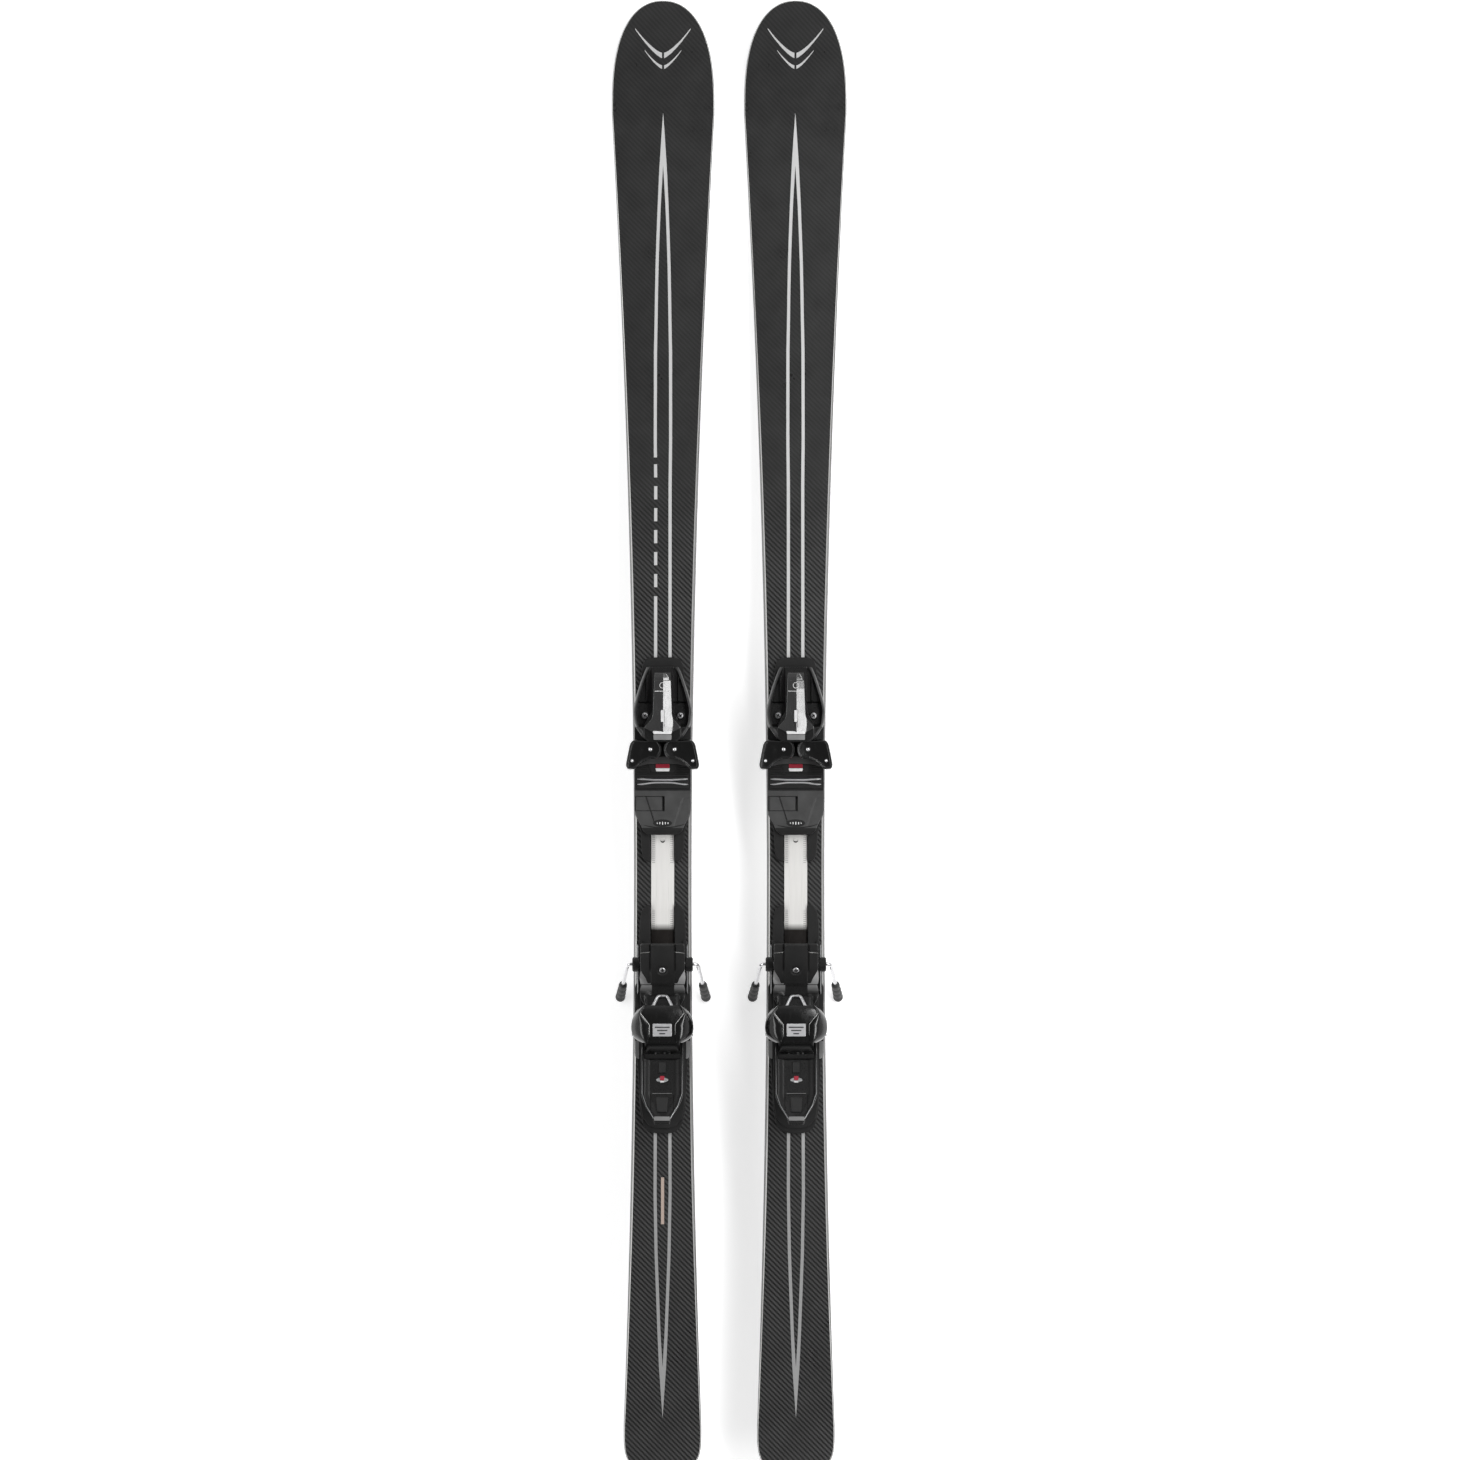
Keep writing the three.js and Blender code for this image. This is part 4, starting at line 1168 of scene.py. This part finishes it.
def friction_plate():
    """The sliding plate: a ribbed strip, and two bright ridges that part towards its ends."""

    def top(x, y):
        ribs = 0.25 * np.cos((y + 46) * 2 * math.pi / 2.4) * band(y, -51.4, -46.5, 0.5)
        return 33.0 + ribs - 0.6 * band(y, -64, -61.2, 0.3)

    shells = [relief(rows([-46.2, -63.8], 0.35, 0.5), mirrored(fixed(30.0)), top, HOUSING_FLOOR, 6, 0.5)]
    for middle, spread in ((-53.9, 0.9), (-57.2, -1.9)):
        xs = np.linspace(-29.4, 29.4, 41)
        path = [(x, middle + float(spread * ramp(abs(x), 8, 27)), 33.1) for x in xs]
        shells.append(sweep(path, lambda t: 1.1 * min(1, 12 * min(t, 1 - t) + 0.2), 14, paint=1))
    skin("friction_plate", shells, [MATTE, PLAQUE], "friction_plate_body")


def release_screws():
    """The slotted heads at the ends of the two spring bores."""
    for name, radius, depth, y, z, turn in (
        ("toe_screw", 7.5, 11.5, 72.5, TOE_BORE_Z, -90),
        ("heel_screw", 6.8, 13, -437.5, TUNNEL_Z, 90),
    ):
        head = disc((0, 0, 0), radius, slot_head(radius), depth, segments=64, steps=20)
        facing = Matrix.Translation((0, y, z)) @ Matrix.Rotation(math.radians(turn), 4, "X")
        skin(name, [moved(head, facing)], [SATIN], f"{name}_body", crease=30)


# ---- The heel ----


def heel_carriage():
    """The plate under the heel, with the brake's bearings, side rails and two slopes that carry a painted
    reflection.
    """
    side = [(23.5, -272.5), (23.5, -240), (27.5, -240), (27.5, -278), (26, -283), (26, -425), (23, -444)]
    shells = [plate(both_sides([*side, (15, -454), (6, -456.5)]), 2.5, CARRIAGE_BOTTOM, CARRIAGE_TOP, 0.6)]
    hump = [(-258.5, CARRIAGE_BOTTOM), (-260, 35), (-264, 38.5), (-271, 38.5), (-274.5, 35)]
    ear = slab([*hump, (-276, CARRIAGE_BOTTOM)], 2, 26, 35, 1.2)
    rail = slab([(-244, 28), (-246, 32.6), (-299, 32.6), (-302, 28)], 1, 28.0, 29.3, 0.4, paint=2)
    slope = [(25.5, -273), (26.6, -284), (25.6, -290.4), (13.5, -290.4), (13.5, -273)]
    # painted reflection on the two slopes, fading into painted shade towards the rear
    shine = plate(slope, 1.5, CARRIAGE_TOP - 0.4, 31.9, 0.4, paint=1)
    shells += [ear, rail, mirror(ear), mirror(rail), shine, mirror(shine)]
    skin("heel_carriage", shells, [MATTE, SHEEN_AND_SHADE, SATIN], "heel_unit")


FUNNEL_HALF = [(-291, 24.4), (-298, 26.4), (-306, 25.4), (-314, 21.5), (-322, 19), (-330, 20)]


CUP_BORE = 24.2  # the cup's inside, round the axle
BLOCK_RADIUS = 22.4  # of the block that it turns on
BARREL = [  # (radius, y): out along the spring's barrel, over its end and back inside
    (9.5, -352), (9.5, -440), (9.0, -441), (7.6, -441), (7.3, -440.4), (7.3, -353), (8, -352),
]


def heel_housing():
    """The block under the cup, its front ramp with a bright bail, and the spring's barrel behind it."""

    def top(x, y):
        offset = np.clip(y - AXLE_Y, -22, 22)
        dome = AXLE_Z + np.sqrt(BLOCK_RADIUS**2 - offset**2)
        nose = curve(y, [(-303, 35.6), (-310, 38.5), (-325, 45.5), (-327, 50)])
        height = np.where(y > -327, nose, np.maximum(dome, 45))
        return height - 1.2 * ramp(np.abs(x), 15, 20.3) ** 2

    lines = mirrored(fixed(15), fixed(20.2))
    block = relief(rows([-303, -327, -369.5], 1, 1.2), lines, top, HOUSING_FLOOR, 2, 1.2)

    def funnel_top(x, y):
        return 32.3 + 4.0 * ramp(y, -296, -306) * ramp(np.abs(x), 12, 22)

    lines = mirrored(fixed(13.5), outline(FUNNEL_HALF))
    # painted reflection and shade: the funnel's outer sides at the front get the light grey that fades to
    # dark
    shade = lambda x, y: ((y > -300) & (np.abs(x) > 13.4)).astype(int) * 2
    funnel = relief(rows([-291, -300, -330], 1), lines, funnel_top, HOUSING_FLOOR, 1.2, 0.9, shade)
    turns = [2 * math.pi * j / 40 for j in range(40)]
    barrel = [[(r * math.cos(a), y, TUNNEL_Z + r * math.sin(a)) for a in turns] for r, y in BARREL]
    web = plate([(7, -360), (7, -436), (-7, -436), (-7, -360)], 2, HOUSING_FLOOR, TUNNEL_Z - 6, 0.5)
    path = bent([(-12, -318.5, 43.6), (-5.2, -304, 37.6), (5.2, -304, 37.6), (12, -318.5, 43.6)], 3)
    bail = sweep(path, 1.8, 18, paint=1)
    dot = disc((0, -316, 42.2), 0.9, domed(0.9), 0.6, segments=20, paint=1)
    shells = [block, funnel, rings(barrel, closed=True), web, bail, dot]
    skin("heel_housing", shells, [SATIN_BLACK, PLAQUE, SHEEN_AND_SHADE], "heel_unit")


def heel_axle():
    """The pin through the cup's cheeks, with chamfered ends."""
    path = [(x, AXLE_Y, AXLE_Z) for x in (-35.6, -35.3, -34.8, 34.8, 35.3, 35.6)]
    pin = sweep(path, lambda s: 3.0 if 0.3 < s < 0.7 else (2.9 if 0.1 < s < 0.9 else 2.2), 32)
    skin("heel_axle", [pin], [STEEL], "heel_unit")


CUP_HALF = [
    (-315.5, 22), (-317, 24.5), (-321, 29), (-327, 33), (-334, 35.3), (-341, 35.9), (-348, 34.8),
    (-354, 30.5), (-358.3, 24),
]
CUP_TOP = [(-315.5, 71.4), (-320, 73.6), (-330, 76.6), (-340, 78), (-350, 78.2), (-358.5, 76.4)]
CUP_EDGE = [(-315.5, 20.5), (-321, 23.5), (-325, 24.8), (-338, 14.6), (-351, 14.6), (-358.5, 17)]
CUP_FOOT = [(-315.5, 69), (-320, 62), (-326, 48), (-338, 38), (-348, 36), (-358.5, 40)]


def cup_top(x, y):
    """A plain middle between two bulging lobes."""
    away = np.abs(x)
    edge = along(y, CUP_EDGE)
    half = curve(y, CUP_HALF)
    ridge = curve(y, CUP_TOP)
    share = np.clip((away - edge) / np.maximum(half - edge, 1), 0, 1)
    lobe = ridge + 0.6 * np.sin(np.pi * np.minimum(share * 1.6, 1)) - 12 * share**3.2
    middle = ridge - 1.6 - 0.4 * (away / 13) ** 2
    return middle + (lobe - middle) * ramp(away, edge - 0.8, edge)


def heel_cup():
    """The hood over the boot's heel, with painted highlight lines along the creases beside its lobes, and a
    plate with three plain bars.
    """
    edge = lambda y: along(y, CUP_EDGE)
    half = outline(CUP_HALF)
    wall = lambda y: np.maximum(np.minimum(half(y) - 2.4, 33.2), edge(y) + 0.2)
    lines = mirrored(lambda y: edge(y) - 0.8, edge, wall, lambda y: wall(y) + 0.15, half)

    def under(x, y):
        swing = np.clip(y - AXLE_Y, -12, 2)
        inner = AXLE_Z + np.sqrt(CUP_BORE**2 - swing**2) + 1.0 * ramp(y, -345, -318)
        outside = np.abs(x) > wall(y) + 0.1
        return np.where(outside, np.minimum(curve(y, CUP_FOOT), inner), inner)

    shells = [relief(rows([-315.5, -325, -338, -351, -358.4], 0.7, 0.7), lines, cup_top, under, 0.9, 0.7)]
    # painted highlight: a thin bright line along each crease
    crease = [(25.4, -324.4), (15.4, -337), (14.9, -338.6), (14.9, -350)]
    for sign in (1, -1):
        path = [(sign * x, y, float(cup_top(x + 0.6, y)) - 0.1) for x, y in densified(crease)]
        shells.append(sweep(path, lambda s: 0.42 * (1 - s) ** 0.5 + 0.05, 8, paint=2))
    panel = both_sides([(11, -336.8), (11, -351.4)])
    level = float(curve(-344, CUP_TOP)) - 1.6
    shells.append(plate(panel, 1, level - 0.6, level + 0.5, 0.3, paint=1))
    for i, width in enumerate((8.6, 6.0, 3.4)):
        y = -340.2 - 3.6 * i
        bar = both_sides([(width, y), (width, y - 1.5)])
        shells.append(plate(bar, 0.6, level + 0.3, level + 0.95, 0.3, paint=3))
    skin("heel_cup", shells, [GLOSS, PLAQUE, RIM_AND_HIGHLIGHT, PANEL], "heel_cup_body", crease=40)


def densified(points, pitch=0.8):
    """The same run of straight lines, with more points along it."""
    run = [points[0]]
    for start, end in zip(points, points[1:]):
        count = max(1, math.ceil(math.dist(start, end) / pitch))
        for step in range(1, count + 1):
            share = step / count
            run.append(tuple(a + (b - a) * share for a, b in zip(start, end)))
    return run


LEVER_HALF = [(-360, 24), (-418, 24), (-432, 19), (-447, 10), (-452.5, 8.6)]
LEVER_SLOPE = 35 / 85
TRAY_DEPTH = 4.6


def lever_line(y):
    """The height of the lever's rim."""
    return 71 + (-372 - y) * LEVER_SLOPE


def lever_top(x, y):
    """A tray with a rim, a tongue and a step."""
    away = np.abs(x)
    gap = curve(y, LEVER_HALF) - away
    rim = np.maximum(ramp(gap, 3.0, 2.2), ramp(y, -443.4, -444.2))
    slope = 1.8 * ramp(gap, 10, 3.0)
    step = 1.1 * ramp(y, -417.2, -418.2) * ramp(away, 13.5, 12.5)
    tongue = 1.4 * ramp(away, 4.6, 4.1) * band(y, -392.8, -381, 0.4)
    inside = lever_line(y) - TRAY_DEPTH + slope + step + tongue
    return inside + (lever_line(y) - inside) * rim


def on_lever(shell, y):
    """A shell drawn on a level floor, laid on the lever's sloping one at a place along it."""
    slope = Matrix.Rotation(-math.atan(LEVER_SLOPE), 4, "X")
    return moved(shell, Matrix.Translation((0, y, float(lever_line(y)) - TRAY_DEPTH)) @ slope)


def indicator():
    """The release scale's window: a silver oval with a red and a white flag."""
    red, white = both_sides([(2.6, 4.6), (2.6, -0.6)]), both_sides([(2.3, -1.4), (2.3, -3.4)])
    flags = [plate(red, 0.8, -1, 1.3, 0.3, paint=2), plate(white, 0.6, -1, 1.3, 0.3, paint=3)]
    return [round_plate(0, 0, 7, 3, -1, 0.7, 0.5, paint=4), *flags]


def heel_lever():
    """The opening lever: a tray on two cheeks, with the indicator, a raised tab and a bright grip."""
    half = outline(LEVER_HALF)
    inner = [fixed(4.1), fixed(4.6)]
    inner += [lambda y: np.minimum(12.5, half(y) - 3.4), lambda y: np.minimum(13.5, half(y) - 3.2)]
    rims = [lambda y: np.maximum(half(y) - 3.0, 4.8), lambda y: np.maximum(half(y) - 2.2, 4.9), half]
    stops = [-372.2, -380.6, -381, -392.8, -393.2, -417.2, -418.2, -443.4, -444.2, -452.5]
    under = lambda x, y: lever_line(y) - 7.8
    paint = lambda x, y: ((np.abs(x) < 4.15) & (y > -392.9) & (y < -380.9)).astype(int)
    tray = relief(rows(stops, 0.8, 0.7), mirrored(*inner, *rims), lever_top, under, 1.0, 0.7, paint)
    from_axle = lambda profile: [(AXLE_Y + y, AXLE_Z + z) for y, z in profile]
    arm = [(8, -5), (9, 2), (5, 9), (-3, 12), (-16, 14), (-24, 27), (-60, 40.5), (-60, 30), (-26, 6)]
    cheek = slab(from_axle([*arm, (-10, -7)]), 3, 20.9, 23.9, 0.7)
    crosspiece = slab(from_axle([(-23.4, 26.3), (-24.4, 19.5), (-30, 19.8), (-29, 27)]), 1, -21, 21, 0.4)
    shells = [tray, cheek, mirror(cheek), crosspiece]
    shells += [on_lever(each, -401.5) for each in indicator()]
    tab = plate(both_sides([(7.2, 9.2), (5.8, -9.4)]), 1.5, -1, 2.4, 0.8, paint=1)
    shells.append(on_lever(tab, -430.5))
    shells.append(on_lever(sweep([(x, 0, 1.2) for x in (-11, -10, 0, 10, 11)], 0.3, 8, paint=5), -417.4))
    # painted highlight: a thin bright line along the tray's rim
    rim_highlight_line = [(22.9, -379), (22.9, -417), (18.2, -431), (9.6, -445.6)]
    path = [(x, y, float(lever_line(y)) + 0.05) for x, y in densified(both_sides(rim_highlight_line))]
    shells.append(sweep(path, lambda s: 0.4 * (0.15 + 0.85 * math.sin(math.pi * s)), 8, paint=4))
    grip = both_sides([(9, -443.6), (9, -448.4)])
    shells.append(plate(grip, 1, 96, float(lever_line(-449)) + 0.6, 0.5, paint=5))
    looks = [SATIN_BLACK, PEDAL, RED, WHITE, SATIN, MID]
    skin("heel_lever", shells, looks, "heel_lever_body")


# ---- The brake ----


BRAKE_ELBOW, BRAKE_END = 40.5, (49.7, -302.5, -48)
BRAKE_CRANK, BRAKE_OPEN = 20.5, 62
TIP_START, TIP_STOP = -35, 7  # along the arm, from the wire's end


def brake_tip_radius(share):
    """A ribbed grip that opens quickly at the wire and closes with a round end."""
    swell = 4.2 + 1.2 * share + 0.6 * abs(math.sin(math.pi * share * 4.2))
    close = math.sqrt(max(0.0, 1 - max(0.0, (share - 0.86) / 0.14) ** 2))
    opening = 0.62 + 0.38 * min(1, share / 0.03)
    return swell * (0.3 + 0.7 * close) * opening


BRAKE_WIRE, BRAKE_BEND = 2.3, 5.2  # the wire's radius, and the radius of its bends
CRANK_HALF = 19  # half the width of the part that the pedal holds


def brake():
    """The bent wire, and a tip on each of its two ends."""
    turn = math.radians(BRAKE_OPEN)
    crank = (BRAKE_Y + BRAKE_CRANK * math.cos(turn), BRAKE_Z + BRAKE_CRANK * math.sin(turn))
    elbow = (BRAKE_ELBOW, BRAKE_Y, BRAKE_Z)
    right = [(CRANK_HALF, *crank), (CRANK_HALF, BRAKE_Y, BRAKE_Z), elbow, BRAKE_END]
    corners = [*[(-x, y, z) for x, y, z in reversed(right)], *right]
    path = bent(corners, BRAKE_BEND)
    skin("brake_wire", [sweep(path, BRAKE_WIRE, 20)], [STEEL], "brake")

    way = (Vector(BRAKE_END) - Vector(elbow)).normalized()
    shares = np.linspace(0, 1, 71)
    path = [Vector(BRAKE_END) + way * (TIP_START + (TIP_STOP - TIP_START) * share) for share in shares]
    right = sweep(path, brake_tip_radius, 28)
    for name, body in (("brake_tip_left", mirror(right)), ("brake_tip_right", right)):
        skin(name, [body], [TIP], "brake", crease=50)


PEDAL_HALF = [(52.5, 24), (50, 25.4), (20, 25.6), (15.5, 24), (6, 19.2), (2, 18.0), (0, 17.0)]


PEDAL_TOP = 3.8  # its thickness
PEDAL_SCREW = 18.4  # along the pedal


def pedal():
    """The plate under the boot's heel, drawn flat along its length and then raised."""
    half = outline(PEDAL_HALF)

    def top(x, s):
        away = np.abs(x)
        panel = 0.7 * ramp(away, 13.6, 12.9)
        groove = 1.4 * ramp(np.abs(away - 14.4), 1.3, 0) * ramp(s, 12, 20)
        front = 1.2 * ramp(s, 42.6, 43.4) * ramp(away, 12.9, 13.6)
        dish = 0.7 * ramp(np.hypot(x, s - PEDAL_SCREW), 6.4, 5.4)
        return PEDAL_TOP + panel - groove - front - dish - 0.6 * ramp(s, 9, 0)

    lines = mirrored(fixed(6), fixed(12.9), fixed(13.6), fixed(14.4), fixed(15.7), half)
    shell = relief(rows([52.4, 43.4, 42.6, 0.2], 0.7), lines, top, 0.1, 0.9)
    seat = (0, PEDAL_SCREW, PEDAL_TOP + 0.1)
    screw = disc(seat, SCREW_RADIUS, cross_head(SCREW_RADIUS), 1, segments=64, steps=22, paint=2)
    # painted highlight: thin bright lines across the front of the side panels
    highlight_lines = []
    for sign in (1, -1):
        path = []
        for x in np.linspace(14.6, 25.6, 14):
            s = 43.2 - 1.6 * (x / 26) ** 2
            path.append((sign * x, s, float(top(x, s)) + 0.12))
        highlight_lines.append(sweep(path, lambda t: 0.5 * (1 - 0.6 * t), 8, paint=1))
    lift = Matrix.Translation((0, PEDAL_Y, PEDAL_Z)) @ Matrix.Rotation(math.radians(PEDAL_TILT), 4, "X")
    shells = [moved(each, lift) for each in (shell, screw, *highlight_lines)]
    skin("brake_pedal", shells, [PEDAL, RIM_AND_HIGHLIGHT, SCREW_STEEL], "brake_pedal_body", crease=28)


# ---- The CAD nodes that stay, inside the model ----


def inner_pieces():
    """Gives the core and the springs their materials."""
    for side in SIDES:
        for node, material in (("wood_core", WOOD), ("toe_spring", SPRING), ("heel_spring", SPRING)):
            mesh = frame["nodes"][f"{side}_{node}"].data
            mesh.materials.clear()
            mesh.materials.append(material)


# ---- Camera, floor and light ----


def camera():
    """Straight above the pair, with a long lens, as a product shot. The tails run just out of the frame."""
    lens, sensor = 200, 36
    span, level = 1.686, 0.09  # the frame's height in metres, and the level where it is measured
    right = 0.0009  # of the pair's middle
    down = 0.0025  # how far the frame's top edge lies behind the tips, at that level
    data = bpy.data.cameras.new("camera")
    data.lens, data.sensor_width, data.clip_end = lens, sensor, 60
    view = bpy.data.objects.new("camera", data)
    bpy.context.scene.collection.objects.link(view)
    view.location = (right, cad_box[1].y - span / 2 - down, level + span * lens / sensor)
    bpy.context.scene.camera = view


def floor():
    """A plain pale floor, lit a little from within like a light table."""
    size = 30
    mesh = bpy.data.meshes.new("floor")
    corners = [(-size, -size, 0), (size, -size, 0), (size, size, 0), (-size, size, 0)]
    mesh.from_pydata(corners, [], [(0, 1, 2, 3)])
    look = Look("pale_floor", 0.86, 0.9, Emission_Color=(1, 1, 1, 1), Emission_Strength=0.6)
    look.set("Base Color", look.mixed(look.noise(3), grey(0.84), grey(0.88)))
    mesh.materials.append(look.material)
    table = bpy.data.objects.new("floor", mesh)
    bpy.context.scene.collection.objects.link(table)


def softbox(name, place_at, size, power):
    """A long area light beside the pair, which looks at its middle. Its longer side runs along the skis."""
    data = bpy.data.lights.new(name, "AREA")
    data.shape, data.size, data.size_y, data.energy = "RECTANGLE", size[0], size[1], power
    lamp = bpy.data.objects.new(name, data)
    bpy.context.scene.collection.objects.link(lamp)
    lamp.location = place_at
    lamp.rotation_mode = "QUATERNION"
    lamp.rotation_quaternion = (Vector(place_at) - Vector((0, 0, 0.1))).to_track_quat("Z", "Y")


def light():
    """A bright horizon that darkens overhead, so bevels shine and flat tops stay deep, and two softboxes."""
    world = bpy.data.worlds.new("studio")
    bpy.context.scene.world = world
    world.use_nodes = True
    nodes, links = world.node_tree.nodes, world.node_tree.links
    place_in = nodes.new("ShaderNodeTexCoord").outputs["Generated"]
    split = nodes.new("ShaderNodeSeparateXYZ")
    links.new(place_in, split.inputs[0])
    fade = nodes.new("ShaderNodeMapRange")
    links.new(split.outputs[2], fade.inputs["Value"])
    low, high = 0.1, 0.8  # the heights between which the sky darkens, as shares of straight up
    horizon, overhead = 0.9, 0.12
    for socket, value in zip(("From Min", "From Max", "To Min", "To Max"), (low, high, horizon, overhead)):
        fade.inputs[socket].default_value = value
    links.new(fade.outputs[0], nodes["Background"].inputs["Strength"])
    nodes["Background"].inputs["Color"].default_value = (1, 1, 1, 1)
    softbox("key_softbox", (1.35, 0.3, 2.6), (4.4, 0.55), 70)
    softbox("fill_softbox", (-2.4, 0.0, 2.2), (4.0, 0.9), 40)
    bpy.context.scene.view_settings.view_transform = "Standard"


# ---- The whole ----

camera()
floor()
light()
lay_up()
rails()
toe_housing()
toe_cover()
toe_screws()
wings()
toe_carriage()
lock_button()
friction_plate()
release_screws()
heel_carriage()
heel_housing()
heel_axle()
heel_cup()
heel_lever()
brake()
pedal()
inner_pieces()
